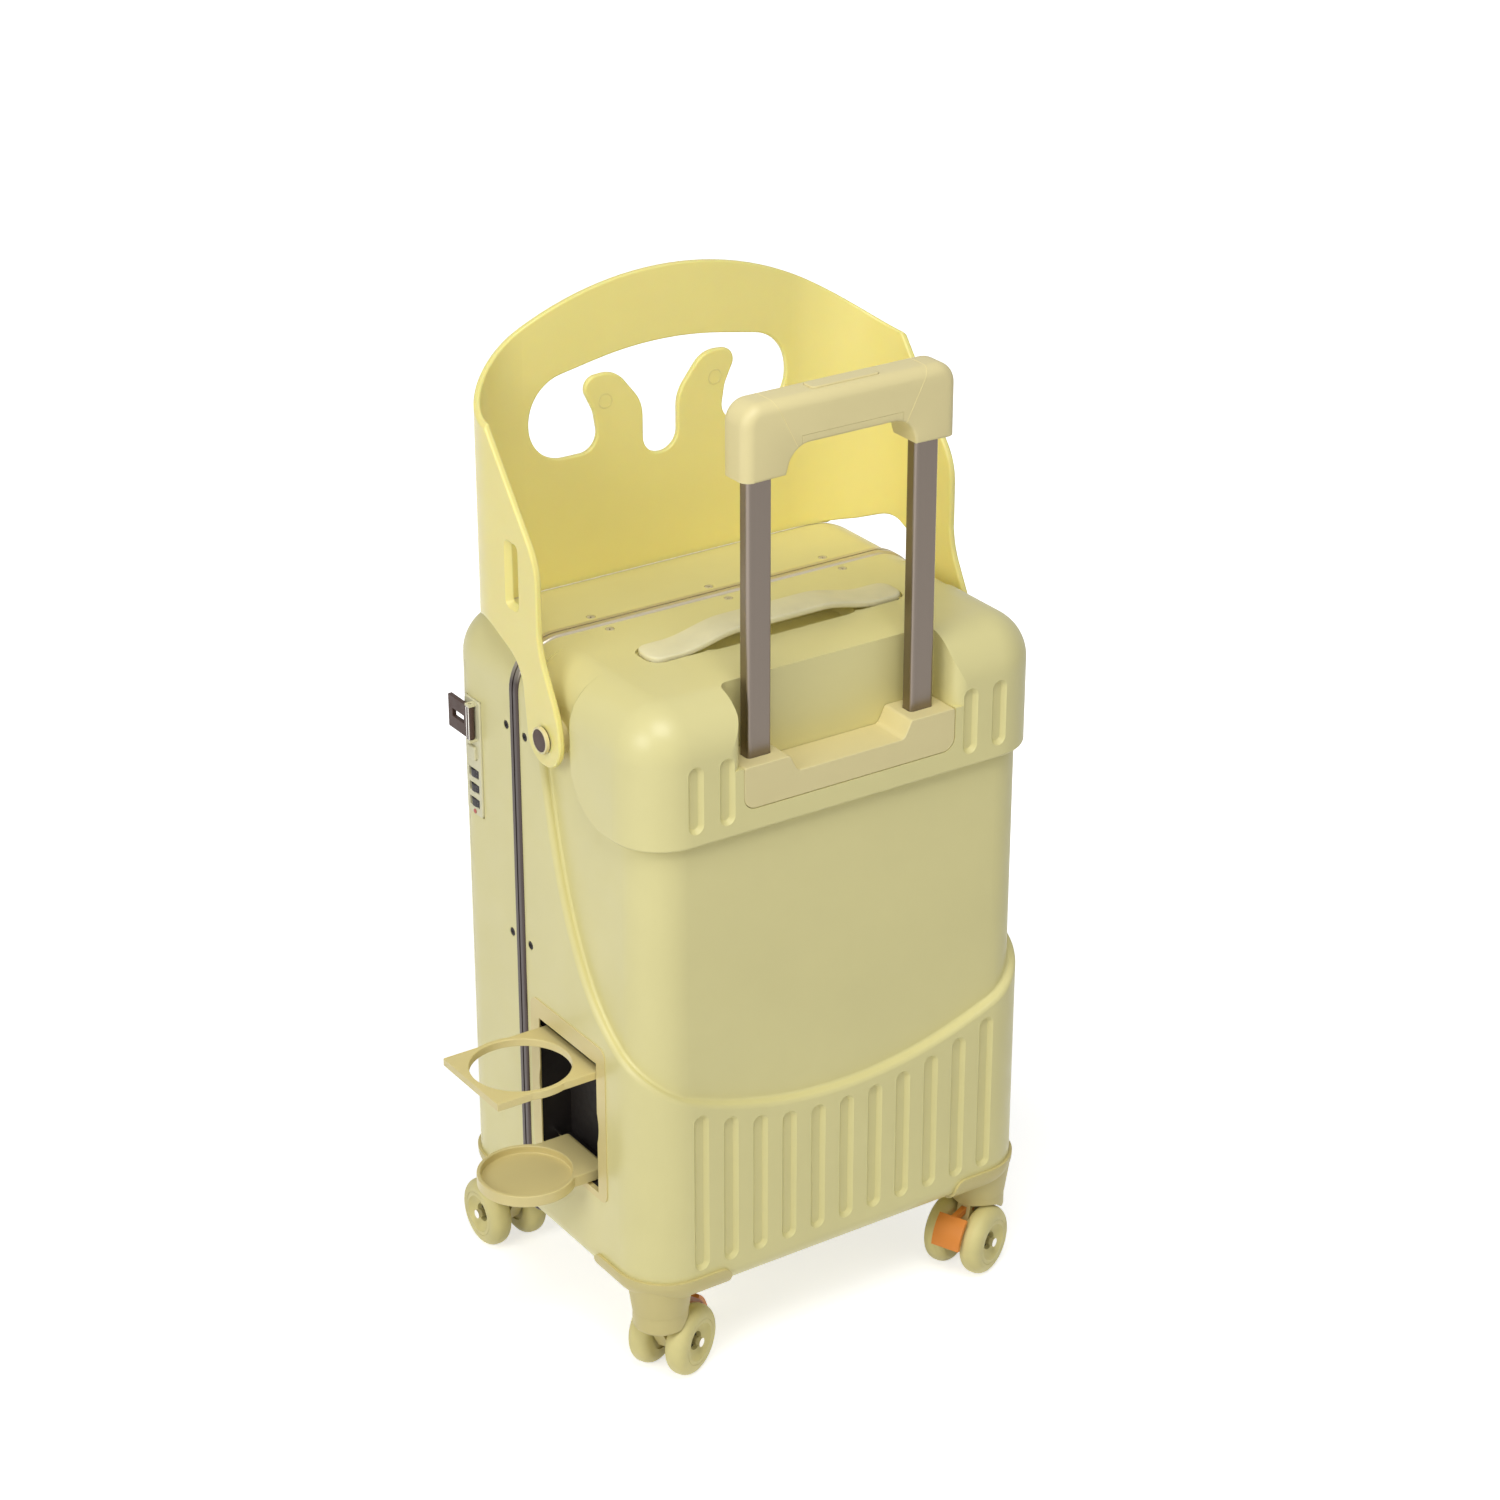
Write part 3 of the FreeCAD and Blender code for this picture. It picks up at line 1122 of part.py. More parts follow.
def caster_pieces(plate_head, guard_foot, brake):
    """One caster about the Z axis, trailing along +X with its axle along Y."""
    stem = rod(stem_r, (0, 0, plate_head - fork_plate_t), (0, 0, 1), guard_foot - plate_head + fork_plate_t)
    plate = rod(fork_plate_r, (0, 0, plate_head - fork_plate_t), (0, 0, 1), fork_plate_t)
    hood = rod(fork_plate_r, (0, 0, plate_head - hood_h), (0, 0, 1), hood_h)
    hood = hood.makeFillet(hood_edge_r, edges_at(hood, "z", plate_head - hood_h))
    room_at = (caster_trail, -2 * fork_plate_r, wheel_r)
    hood = hood.cut(rod(wheel_r + wheel_room, room_at, (0, 1, 0), 4 * fork_plate_r))
    half = wheel_gap / 2 - fork_side_gap
    head = plate_head - fork_plate_t / 4
    near_x = caster_trail - fork_boss
    far_x = caster_trail + fork_boss
    low = wheel_r - fork_boss
    leg = outline([(-fork_front, head, 0), (-fork_front, plate_head - fork_front, fork_front_r),
                   (near_x, low, fork_boss_r), (far_x, low, fork_boss_r),
                   (far_x, wheel_r + fork_boss, fork_boss_r),
                   (fork_back, head, 0)], at_y(-half))
    axle_at = (caster_trail, -wheel_gap / 2 - wheel_w - axle_out, wheel_r)
    length = wheel_gap + 2 * wheel_w + 2 * axle_out
    axle = rod(axle_r, axle_at, (0, 1, 0), length)
    axle_hole = rod(axle_r + running_gap, axle_at, (0, 1, 0), length)
    fork = fuse(stem, plate, hood, leg.extrude(V(0, 2 * half, 0))).cut(axle_hole)
    wheels = []
    for side in (-1, 1):
        y0 = side * wheel_gap / 2
        wheel = rod(wheel_r, (caster_trail, y0, wheel_r), (0, side, 0), wheel_w)
        rims = edges_at(wheel, "y", y0) + edges_at(wheel, "y", y0 + side * wheel_w)
        wheel = wheel.makeFillet(wheel_edge_r, rims)
        dish_at = V(caster_trail, y0 + side * (wheel_w - hub_dish), wheel_r)
        dish = Part.makeCone(hub_r - hub_dish, hub_r, hub_dish, dish_at, V(0, side, 0))
        wheels.append(wheel.cut([dish, axle_hole]))
    made = {"caster_axle": axle, "caster_wheels": Part.makeCompound(wheels)}
    if brake:
        pin_z = plate_head - brake_pin_drop
        pin_at = (brake_pin_x, -half, pin_z)
        pin = rod(brake_pin_r, pin_at, (0, 1, 0), 2 * half)
        fork = fork.cut(rod(brake_pin_r + running_gap, pin_at, (0, 1, 0), 2 * half))
        inner_r = wheel_r + brake_gap
        head_angle = math.radians(brake_head_angle)
        arm_end = caster_trail + inner_r * math.cos(head_angle) + brake_t
        arm_foot = pin_z - brake_arm_h / 2
        slot = brake_arm / 2 + touch_gap
        fork = fork.cut(box(brake_pin_x - brake_arm_lap - 2 * touch_gap, arm_end, -slot, slot,
                            arm_foot - 2 * touch_gap, arm_foot + brake_arm_h + 2 * touch_gap))
        arm = box(brake_pin_x - brake_arm_lap, arm_end, -brake_arm / 2, brake_arm / 2, arm_foot,
                  arm_foot + brake_arm_h)
        turn = brake_head_angle - brake_foot_angle
        strip = box(inner_r, inner_r + brake_t, -brake_width / 2, brake_width / 2, 0, touch_gap)
        section = [face for face in strip.Faces if face.CenterOfMass.z < slip][0]
        pad = section.revolve(V(0, 0, 0), V(0, -1, 0), turn)
        pad.rotate(V(0, 0, 0), V(0, -1, 0), brake_foot_angle)
        pad.translate(V(caster_trail, 0, wheel_r))
        made["brake_pedal"] = fuse(pad, pin, arm)
    made["caster_fork"] = fork
    return made


case = case_form(0, 0, 0, 0, 0)
build_shells(case)
build_frame()
build_hinges(case)
build_trolley()
build_grip()
build_strap()
build_guard()
build_cup_holder()
build_lock()
build_keeper(case)
build_casters(case)
os.makedirs("parts", exist_ok=True)
for name, shape in parts.items():
    shape.exportStep("parts/%s.step" % name)
    print(name, len(shape.Solids), round(shape.Volume / 1000, 1), shape.isValid())
print(len(parts), "nodes")
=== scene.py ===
import json
import math

import bmesh
import bpy
from bpy.props import FloatProperty, FloatVectorProperty, IntProperty, PointerProperty
from mathutils import Matrix, Vector


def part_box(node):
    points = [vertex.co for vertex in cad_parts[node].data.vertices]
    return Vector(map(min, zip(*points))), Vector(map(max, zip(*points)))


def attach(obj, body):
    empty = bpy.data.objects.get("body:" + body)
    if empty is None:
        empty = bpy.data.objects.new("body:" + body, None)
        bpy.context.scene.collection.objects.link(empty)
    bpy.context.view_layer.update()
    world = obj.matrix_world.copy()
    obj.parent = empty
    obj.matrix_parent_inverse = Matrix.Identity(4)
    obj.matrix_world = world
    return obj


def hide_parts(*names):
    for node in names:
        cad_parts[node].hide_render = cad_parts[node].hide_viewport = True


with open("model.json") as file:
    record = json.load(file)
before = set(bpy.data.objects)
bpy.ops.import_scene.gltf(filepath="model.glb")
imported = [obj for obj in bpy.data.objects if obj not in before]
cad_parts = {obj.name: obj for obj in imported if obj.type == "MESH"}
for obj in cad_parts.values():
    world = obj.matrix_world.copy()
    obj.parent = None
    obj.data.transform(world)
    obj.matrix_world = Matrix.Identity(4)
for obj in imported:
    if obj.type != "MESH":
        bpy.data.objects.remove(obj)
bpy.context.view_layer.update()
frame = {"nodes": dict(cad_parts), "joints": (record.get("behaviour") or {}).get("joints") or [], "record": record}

bl_info = {
    "name": "Ride-on suitcase",
    "version": (1, 0, 0),
    "blender": (4, 5, 0),
    "location": "View3D > Sidebar > Ride-on suitcase",
    "description": "Finishes and fittings of a ride-on suitcase over its solid frame",
    "category": "Object",
}

CASTERS = ("near_left", "near_right", "far_left", "far_right")
DIAL_NUMBERS = (3, 7, 1)
STRAP_PARTS = 100

# Distances in metres under which points count as one, and under which a cut takes a point as on its plane
MERGE = 1e-6
LINE_MERGE = 1e-5
CUT = 1e-7

# Shares of a radius or a height
SCREW_HEIGHT = 0.4
SCREW_CROSS_DEPTH = 0.7
CAP_HEIGHT = 0.30
AXLE_EDGE = 0.45
AXLE_RIM = 0.2
AXLE_DIMPLE = 0.12

# Turn in radians of a screw's cross for each metre along the frame
TOP_SCREW_TURN = 9.0
TOP_SCREW_START = 0.4
SIDE_SCREW_TURN = 11.0

# Share of the hub's depth and the narrowing of each step of its dish
HUB_STEPS = ((0.35, 0.93), (0.65, 0.62))

# Sideways and upward part of the direction across a parting line of the grip
PARTING_SLANT = (0.888, 0.46)


def colour_property(label, text, default):
    """Colour that a user can change."""
    return FloatVectorProperty(name=label, description=text, default=default, subtype="COLOR", size=3,
                               min=0, max=1)


def length_property(label, text, default):
    """Length in metres that a user can change."""
    return FloatProperty(name=label, description=text, default=default, unit="LENGTH", min=0, precision=5)


def power_property(label, text, default):
    """Strength of a light that a user can change."""
    return FloatProperty(name=label, description=text, default=default, min=0)


def place_property(label, text, default):
    """Place in metres that a user can change."""
    return FloatVectorProperty(name=label, description=text, default=default, subtype="TRANSLATION",
                               unit="LENGTH", size=3)


class RideCaseColours(bpy.types.PropertyGroup):
    """Colours of the suitcase's finishes."""

    shell: colour_property("Shell", "Pale yellow of the two shells and the lid", (0.765, 0.70, 0.325))
    guard: colour_property("Guard", "Warmer yellow of the rider guard", (0.91, 0.80, 0.285))
    trim: colour_property("Trim", "Beige yellow of the grip and the bezels", (0.78, 0.68, 0.345))
    cup_holder: colour_property("Cup holder", "Yellow of the fold-out cup holder", (0.74, 0.625, 0.28))
    strap: colour_property("Strap", "Cream of the carry strap", (0.83, 0.775, 0.50))
    # The frame is dark bronze on its sides, and its top is painted paler as a painted highlight.
    rail: colour_property("Frame rails", "Dark bronze of the frame on the sides", (0.075, 0.058, 0.052))
    rail_top: colour_property("Frame rails on top", "Painted highlight bronze of the frame on the top", (0.66, 0.595, 0.46))
    seal: colour_property("Seal", "Grey rubber between the rails", (0.20, 0.165, 0.160))
    # The seal's top is painted paler as a painted highlight.
    seal_top: colour_property("Seal on top", "Painted highlight rubber of the seal on the top", (0.40, 0.35, 0.25))
    tube: colour_property("Tubes", "Champagne grey of the trolley tubes", (0.255, 0.213, 0.178))
    steel: colour_property("Steel", "Bright steel of pins and axles", (0.66, 0.64, 0.60))
    brown: colour_property("Brown", "Dark brown of the bolt caps and the latch", (0.085, 0.050, 0.040))
    black: colour_property("Black", "Near black of the screws on the sides", (0.020, 0.015, 0.013))
    brass: colour_property("Screws", "Pale brass of the screws on the top", (0.62, 0.55, 0.36))
    wheel: colour_property("Wheels", "Khaki yellow of the wheels", (0.76, 0.68, 0.30))
    fork: colour_property("Forks", "Khaki yellow of forks and corner guards", (0.645, 0.555, 0.24))
    pedal: colour_property("Pedals", "Orange of the brake pedals", (0.78, 0.27, 0.045))
    lock: colour_property("Lock plate", "Pale yellow of the lock plate", (0.73, 0.69, 0.44))
    dial: colour_property("Dials", "Near black of the number dials", (0.035, 0.030, 0.030))
    ink: colour_property("Numbers", "White of the numbers on the dials", (0.86, 0.85, 0.82))
    red: colour_property("Indicator", "Red of the lock's indicator", (0.52, 0.045, 0.02))
    # Near black of the painted shade in the cup holder's recess.
    lining: colour_property("Recess lining", "Near black in the cup holder's recess", (0.022, 0.018, 0.016))
    floor: colour_property("Floor", "Pale studio floor", (0.88, 0.88, 0.88))


class RideCaseSizes(bpy.types.PropertyGroup):
    """Sizes of the fittings that the frame's solids don't hold."""

    tyre_edge: length_property("Tyre edge", "Rounding of a tyre's shoulders", 0.0079)
    tyre_groove: length_property("Tyre groove", "Width and depth of the line between tyre and hub", 0.0006)
    tyre_flat: length_property("Tyre flat", "Width of the flat between shoulder and line", 0.0012)
    hub_radius: length_property("Hub radius", "Outer radius of a wheel's dished hub", 0.0150)
    hub_depth: length_property("Hub depth", "Depth of the dish in a wheel's hub", 0.0048)
    hub_bore: length_property("Hub bore", "Radius of the dark bore in a hub", 0.0062)
    bore_lip: length_property("Bore lip", "Width of the raised lip round the bore", 0.0006)
    bore_rise: length_property("Bore rise", "Height of that lip", 0.0007)
    bore_depth: length_property("Bore depth", "Depth of the bore", 0.0040)
    bore_shade: length_property("Bore shade", "Depth below the dish at which the dark bore starts", 0.0008)
    axle_sink: length_property("Axle sink", "Depth of an axle's end cap below the dish", 0.0046)
    axle_radius: length_property("Axle radius", "Radius of an axle's end cap", 0.0034)
    screw_head: length_property("Screw head", "Radius of a screw head of the frame", 0.0031)
    screw_edge: length_property("Screw edge", "Rounding of a screw head", 0.0004)
    # Heights of the band over which the frame and seal are painted from dark to pale: a painted highlight on their
    # top.
    wear_low: length_property("Highlight start", "Distance below the top at which the frame starts to pale", 0.030)
    wear_high: length_property("Highlight end", "Distance below the top at which the frame is pale", 0.008)
    screw_cross: length_property("Screw cross", "Half length of the cross in a screw head", 0.0017)
    screw_slot: length_property("Screw slot", "Half width of the cross in a screw head", 0.00042)
    cap_edge: length_property("Bolt cap edge", "Rounding of a pivot bolt's cap", 0.0006)
    cap_rim: length_property("Bolt cap rim", "Width of the pale rim round a bolt cap", 0.0009)
    cap_stand: length_property("Bolt cap stand", "How far a bolt cap stands off its bolt", 0.0004)
    cap_sink: length_property("Bolt cap sink", "Depth of the dark disc in a bolt cap", 0.0004)
    mark_radius: length_property("Guard mark", "Radius of the raised ring on a tongue of the guard", 0.0055)
    mark_reach: length_property("Guard mark reach", "Distance of a mark from the middle of the guard", 0.0476)
    mark_drop: length_property("Guard mark drop", "Distance of a mark below the guard's top", 0.094)
    guard_wall: length_property("Guard wall", "Thickness of the guard", 0.005)
    lip_height: length_property("Lip height", "Height over the case at which the foot lip starts", 0.008)
    lip_drop: length_property("Lip drop", "How far that lip reaches below the guard's foot", 0.0014)
    lip_inset: length_property("Lip inset", "How far that lip lies inside the guard's faces", 0.00005)
    mark_wire: length_property("Guard mark wire", "Thickness of that ring", 0.00035)
    grip_corner: length_property("Grip corner", "Radius of the grip's two upper corners", 0.016)
    grip_round: length_property("Grip rounding", "Radius along the front and back of the grip", 0.0085)
    grip_edge: length_property("Grip edge", "Radius of the lower edges of the grip", 0.0022)
    arch_height: length_property("Arch height", "Height of the finger room under the grip bar", 0.020)
    arch_half: length_property("Arch half width", "Half width of the finger room at its top", 0.0485)
    arch_flare: length_property("Arch flare", "How much wider the finger room is at its foot", 0.0085)
    arch_round: length_property("Arch rounding", "Radius of the finger room's upper corners", 0.013)
    cover_half: length_property("Cover half width", "Half width of the cover under the grip bar", 0.042)
    cover_height: length_property("Cover height", "Height of the cover under the grip bar", 0.006)
    seam: length_property("Seam", "Width of the fine gaps between mouldings", 0.00022)
    button_length: length_property("Button length", "Length of the button in the grip", 0.056)
    button_corner: length_property("Button corner", "Corner radius of the button's pocket", 0.003)
    button_pocket: length_property("Button pocket", "Depth of the button's pocket", 0.015)
    line_reach: length_property("Line reach", "Distance of a parting line from the middle of the grip", 0.055)
    strap_thick: length_property("Strap thickness", "Thickness of the carry strap", 0.005)
    strap_corner: length_property("Strap corner", "Radius of the strap's ends", 0.010)
    strap_edge: length_property("Strap edge", "Rounding of the strap's long edges", 0.0016)
    strap_flat: length_property("Strap middle", "Half length of the raised middle of the strap", 0.036)
    strap_foot: length_property("Strap foot", "Distance of the strap's flat ends from its middle", 0.086)
    line_wire: length_property("Parting line", "Half width of the parting lines on the grip", 0.00022)
    number_height: length_property("Number height", "Height of the numbers on the dials", 0.0054)
    number_depth: length_property("Number depth", "How far the numbers stand off a dial", 0.00012)
    knurl_depth: length_property("Knurl depth", "Depth of the grip ridges on a dial", 0.00025)
    latch_wire: length_property("Latch edge", "Half width of the bright edge round the latch", 0.0005)
    # Sizes of the near-black sheet of painted shade in the cup recess.
    lining_gap: length_property("Recess shade gap", "Distance of a lining from the wall behind it", 0.0002)
    lining_sheet: length_property("Recess shade thickness", "Thickness of the recess lining", 0.0004)
    dial_edge: length_property("Dial edge", "Rounding of a dial's edges", 0.0004)
    recess_wall: length_property("Recess wall", "Wall at the back of the cup holder's recess", 0.0020)
    recess_front: length_property("Recess front", "Distance of the lining behind the recess's mouth", 0.0130)
    recess_half: length_property("Recess half width", "Half width of the recess", 0.045)
    recess_foot: length_property("Recess foot", "Height of the recess's floor over its frame's foot", 0.0055)
    recess_head: length_property("Recess head", "Height of the recess's roof over its frame's foot", 0.115)
    knurl_count: IntProperty(name="Knurl ridges", description="Grip ridges round a dial", default=30,
                             min=12, max=60)


class RideCaseStudio(bpy.types.PropertyGroup):
    """Camera and light of the studio."""

    camera_place: place_property("Camera place", "Where the camera stands", (-1.3354, -1.9995, 1.5739))
    camera_turn: FloatVectorProperty(name="Camera turn", description="Rotation of the camera", size=3,
                                     default=(math.radians(64.68), 0.0, math.radians(-33.83)), subtype="EULER")
    camera_lens: FloatProperty(name="Lens", description="Focal length on a 36 mm sensor", default=86.2, min=10)
    aim: place_property("Aim", "Point that the lights look at", (0.0, 0.0, 0.36))
    key_place: place_property("Key place", "Where the light on the left stands", (-2.7, -0.9, 1.9))
    key_size: length_property("Key size", "Side of the light on the left", 1.5)
    key_power: power_property("Key light", "Power of the light on the left", 33)
    fill_place: place_property("Fill place", "Where the light on the right stands", (1.4, -2.8, 1.3))
    fill_size: length_property("Fill size", "Side of the light on the right", 2.0)
    fill_power: power_property("Fill light", "Power of the light on the right", 4)
    top_place: place_property("Top place", "Where the light overhead hangs", (-0.5, -0.9, 2.1))
    top_size: length_property("Top size", "Side of the light overhead", 1.0)
    top_power: power_property("Top light", "Power of the light overhead", 17.5)
    room_light: power_property("Room light", "Strength of the light from all round", 0.27)
    room_mirror: power_property("Room mirror", "Strength of the room in mirrored light", 0.75)
    floor_glow: power_property("Floor glow", "How far the floor under the case is lifted to white", 0.62)
    floor_near: length_property("Floor near", "Distance at which the floor starts to fade to white", 0.30)
    floor_far: length_property("Floor far", "Distance at which the floor is white", 0.85)
    floor_size: length_property("Floor size", "Side of the square floor", 14.0)


def clear_selection():
    """Leaves edit mode and deselects every object."""
    if bpy.context.mode != "OBJECT":
        bpy.ops.object.mode_set(mode="OBJECT")
    bpy.ops.object.select_all(action="DESELECT")


def choose(*pieces):
    """Selects only these objects and makes the first one active."""
    clear_selection()
    for piece in pieces:
        piece.select_set(True)
    bpy.context.view_layer.objects.active = pieces[0]


def open_mesh(piece, mode="FACE"):
    """Goes into edit mode on one piece with nothing selected."""
    choose(piece)
    bpy.ops.object.mode_set(mode="EDIT")
    bpy.ops.mesh.select_mode(type=mode)
    bpy.ops.mesh.select_all(action="DESELECT")


def close_mesh():
    """Goes back to object mode."""
    bpy.ops.object.mode_set(mode="OBJECT")


def pick_faces(piece, test):
    """Selects the faces whose middle and normal pass the test, in edit mode."""
    mesh = bmesh.from_edit_mesh(piece.data)
    found = 0
    for face in mesh.faces:
        chosen = bool(test(face.calc_center_median(), face.normal))
        face.select_set(chosen)
        found += chosen
    mesh.select_flush_mode()
    bmesh.update_edit_mesh(piece.data)
    if not found:
        raise RuntimeError("no face of %s was found" % piece.name)


def pick_edges(piece, test):
    """Selects the edges whose two ends pass the test, in edit mode."""
    mesh = bmesh.from_edit_mesh(piece.data)
    found = 0
    for edge in mesh.edges:
        chosen = bool(test(edge.verts[0].co, edge.verts[1].co))
        edge.select_set(chosen)
        found += chosen
    bmesh.update_edit_mesh(piece.data)
    if not found:
        raise RuntimeError("no edge of %s was found" % piece.name)


def pick_points(piece, test):
    """Selects the points that pass the test, in edit mode."""
    mesh = bmesh.from_edit_mesh(piece.data)
    for point in mesh.verts:
        point.select_set(bool(test(point.co)))
    mesh.select_flush_mode()
    bmesh.update_edit_mesh(piece.data)


def push(depth, axis=(0, 0, -1)):
    """Extrudes the selected faces and moves them along an axis."""
    way = Vector(axis) * depth
    bpy.ops.mesh.extrude_region_move(TRANSFORM_OT_translate={"value": tuple(way)})


def shade(piece, degrees=32):
    """Smooth shading over round faces and sharp edges elsewhere."""
    choose(piece)
    bpy.ops.object.shade_smooth_by_angle(angle=math.radians(degrees))


def settle(piece, matrix=None):
    """Puts a piece in place and takes its place into its mesh."""
    if matrix is not None:
        piece.matrix_world = matrix
    choose(piece)
    bpy.ops.object.transform_apply(location=True, rotation=True, scale=True)


def own_copy(piece, name):
    """Copy of a piece with its own mesh."""
    twin = piece.copy()
    twin.data = piece.data.copy()
    twin.name = name
    twin.data.name = name
    bpy.context.scene.collection.objects.link(twin)
    return twin


def unite(name, pieces):
    """Joins pieces into one object."""
    choose(*pieces)
    if len(pieces) > 1:
        bpy.ops.object.join()
    whole = bpy.context.view_layer.objects.active
    whole.name = name
    whole.data.name = name
    return whole


def block(low, high):
    """Cube stretched between two corners."""
    low, high = Vector(low), Vector(high)
    clear_selection()
    bpy.ops.mesh.primitive_cube_add(size=1, location=(low + high) / 2)
    piece = bpy.context.object
    piece.scale = high - low
    settle(piece)
    return piece


def carve(piece, cutter, operation="DIFFERENCE"):
    """Cuts a piece with another one, which is used up."""
    cut = piece.modifiers.new("carve", "BOOLEAN")
    cut.operation = operation
    cut.solver = "EXACT"
    cut.object = cutter
    choose(piece)
    bpy.ops.object.modifier_apply(modifier=cut.name)
    bpy.data.objects.remove(cutter)


def node_copy(node, name):
    """Copy of a solid's mesh with its loose triangles joined."""
    piece = bpy.data.objects.new(name, frame["nodes"][node].data.copy())
    bpy.context.scene.collection.objects.link(piece)
    open_mesh(piece)
    bpy.ops.mesh.select_all(action="SELECT")
    bpy.ops.mesh.remove_doubles(threshold=MERGE)
    bpy.ops.mesh.customdata_custom_splitnormals_clear()
    close_mesh()
    return piece


def part_boxes(node):
    """Lowest and highest corner of each separate solid in a node."""
    copy = node_copy(node, "measure")
    open_mesh(copy)
    bpy.ops.mesh.select_all(action="SELECT")
    bpy.ops.mesh.separate(type="LOOSE")
    close_mesh()
    boxes = []
    for piece in list(bpy.context.selected_objects):
        places = [vertex.co.copy() for vertex in piece.data.vertices]
        low = Vector([min(place[k] for place in places) for k in range(3)])
        high = Vector([max(place[k] for place in places) for k in range(3)])
        boxes.append((low, high))
        bpy.data.objects.remove(piece)
    return sorted(boxes, key=lambda pair: tuple(pair[0]))


def joint(name):
    """Place and direction of a joint at rest."""
    for entry in frame["joints"]:
        if entry["name"] == name:
            return Vector(entry.get("pos_m", (0, 0, 0))), Vector(entry["axis"]).normalized()
    raise RuntimeError("there is no joint named %s" % name)


def facing(place, axis, up=(0, 0, 1)):
    """Matrix that turns a piece's own +Z along an axis and moves it to a place."""
    forward = Vector(axis).normalized()
    side = Vector(up).cross(forward)
    if side.length < MERGE:
        side = Vector((1, 0, 0)).cross(forward)
    side.normalize()
    across = forward.cross(side)
    turn = Matrix((side, across, forward)).transposed().to_4x4()
    return Matrix.Translation(Vector(place)) @ turn


def rest_on(piece, body, slot, *materials):
    """Gives a piece its materials and body; the slot is not used."""
    if materials:
        piece.data.materials.clear()
        for material in materials:
            piece.data.materials.append(material)
    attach(piece, body)
    return piece


def dress(material, *nodes):
    """Gives solids of the frame their finish."""
    for node in nodes:
        mesh = frame["nodes"][node].data
        mesh.materials.clear()
        mesh.materials.append(material)


def paint_faces(piece, index, test):
    """Gives the faces that pass the test another of the piece's materials."""
    for face in piece.data.polygons:
        if test(face.center, face.normal):
            face.material_index = index


class Finish:
    """Node tree of one finish on Object coordinates."""

    def __init__(self, name):
        self.material = bpy.data.materials.new(name)
        self.material.use_nodes = True
        tree = self.material.node_tree
        self.nodes = tree.nodes
        self.links = tree.links
        self.shader = next(node for node in self.nodes if node.type == "BSDF_PRINCIPLED")
        self.place = self.nodes.new("ShaderNodeTexCoord").outputs["Object"]

    def value(self, **sockets):
        """Sets numbers and colours on the shader's own sockets."""
        for name, value in sockets.items():
            self.shader.inputs[name.replace("_", " ").title().replace("Ior", "IOR")].default_value = value

    def stretched(self, scale):
        """Object coordinates stretched along the axes."""
        mapping = self.nodes.new("ShaderNodeMapping")
        mapping.inputs["Scale"].default_value = scale
        self.links.new(self.place, mapping.inputs["Vector"])
        return mapping.outputs["Vector"]

    def noise(self, scale, detail=2.0, rough=0.5, vector=None):
        """Noise pattern."""
        node = self.nodes.new("ShaderNodeTexNoise")
        node.inputs["Scale"].default_value = scale
        node.inputs["Detail"].default_value = detail
        node.inputs["Roughness"].default_value = rough
        self.links.new(self.place if vector is None else vector, node.inputs["Vector"])
        return node.outputs["Fac"]

    def cells(self, scale, vector=None):
        """Distance pattern of small cells."""
        node = self.nodes.new("ShaderNodeTexVoronoi")
        node.inputs["Scale"].default_value = scale
        self.links.new(self.place if vector is None else vector, node.inputs["Vector"])
        return node.outputs["Distance"]

    def spread(self, source, low, high, start=0.3, end=0.7):
        """Maps a pattern onto a range of values."""
        node = self.nodes.new("ShaderNodeMapRange")
        node.inputs["From Min"].default_value = start
        node.inputs["From Max"].default_value = end
        node.inputs["To Min"].default_value = low
        node.inputs["To Max"].default_value = high
        self.links.new(source, node.inputs["Value"])
        return node.outputs["Result"]

    def tones(self, source, colour, depth, start=0.3, end=0.7):
        """Colour that a pattern varies a little round its mean."""
        node = self.nodes.new("ShaderNodeValToRGB")
        node.color_ramp.elements[0].position = start
        node.color_ramp.elements[1].position = end
        node.color_ramp.elements[0].color = (*[c * (1 - depth) for c in colour], 1)
        node.color_ramp.elements[1].color = (*[min(c * (1 + depth), 1.0) for c in colour], 1)
        self.links.new(source, node.inputs["Fac"])
        return node.outputs["Color"]

    def relief(self, source, strength, distance, under=None):
        """Bump from a pattern, on top of another bump."""
        node = self.nodes.new("ShaderNodeBump")
        node.inputs["Strength"].default_value = strength
        node.inputs["Distance"].default_value = distance
        self.links.new(source, node.inputs["Height"])
        if under is not None:
            self.links.new(under, node.inputs["Normal"])
        return node.outputs["Normal"]

    def maths(self, operation, first, second):
        """Arithmetic on two patterns."""
        node = self.nodes.new("ShaderNodeMath")
        node.operation = operation
        self.links.new(first, node.inputs[0])
        self.links.new(second, node.inputs[1])
        return node.outputs[0]

    def feed(self, socket, source):
        """Links a pattern to a socket of the shader."""
        self.links.new(source, self.shader.inputs[socket])


made = {}


def kept(make):
    """Makes a material once and gives the same one for its name after that."""
    def find(name, *values, **options):
        if name not in made:
            made[name] = make(name, *values, **options)
        return made[name]
    return find


def toned(colour, share):
    """Colour made darker or paler by a share."""
    return [channel * share for channel in colour]


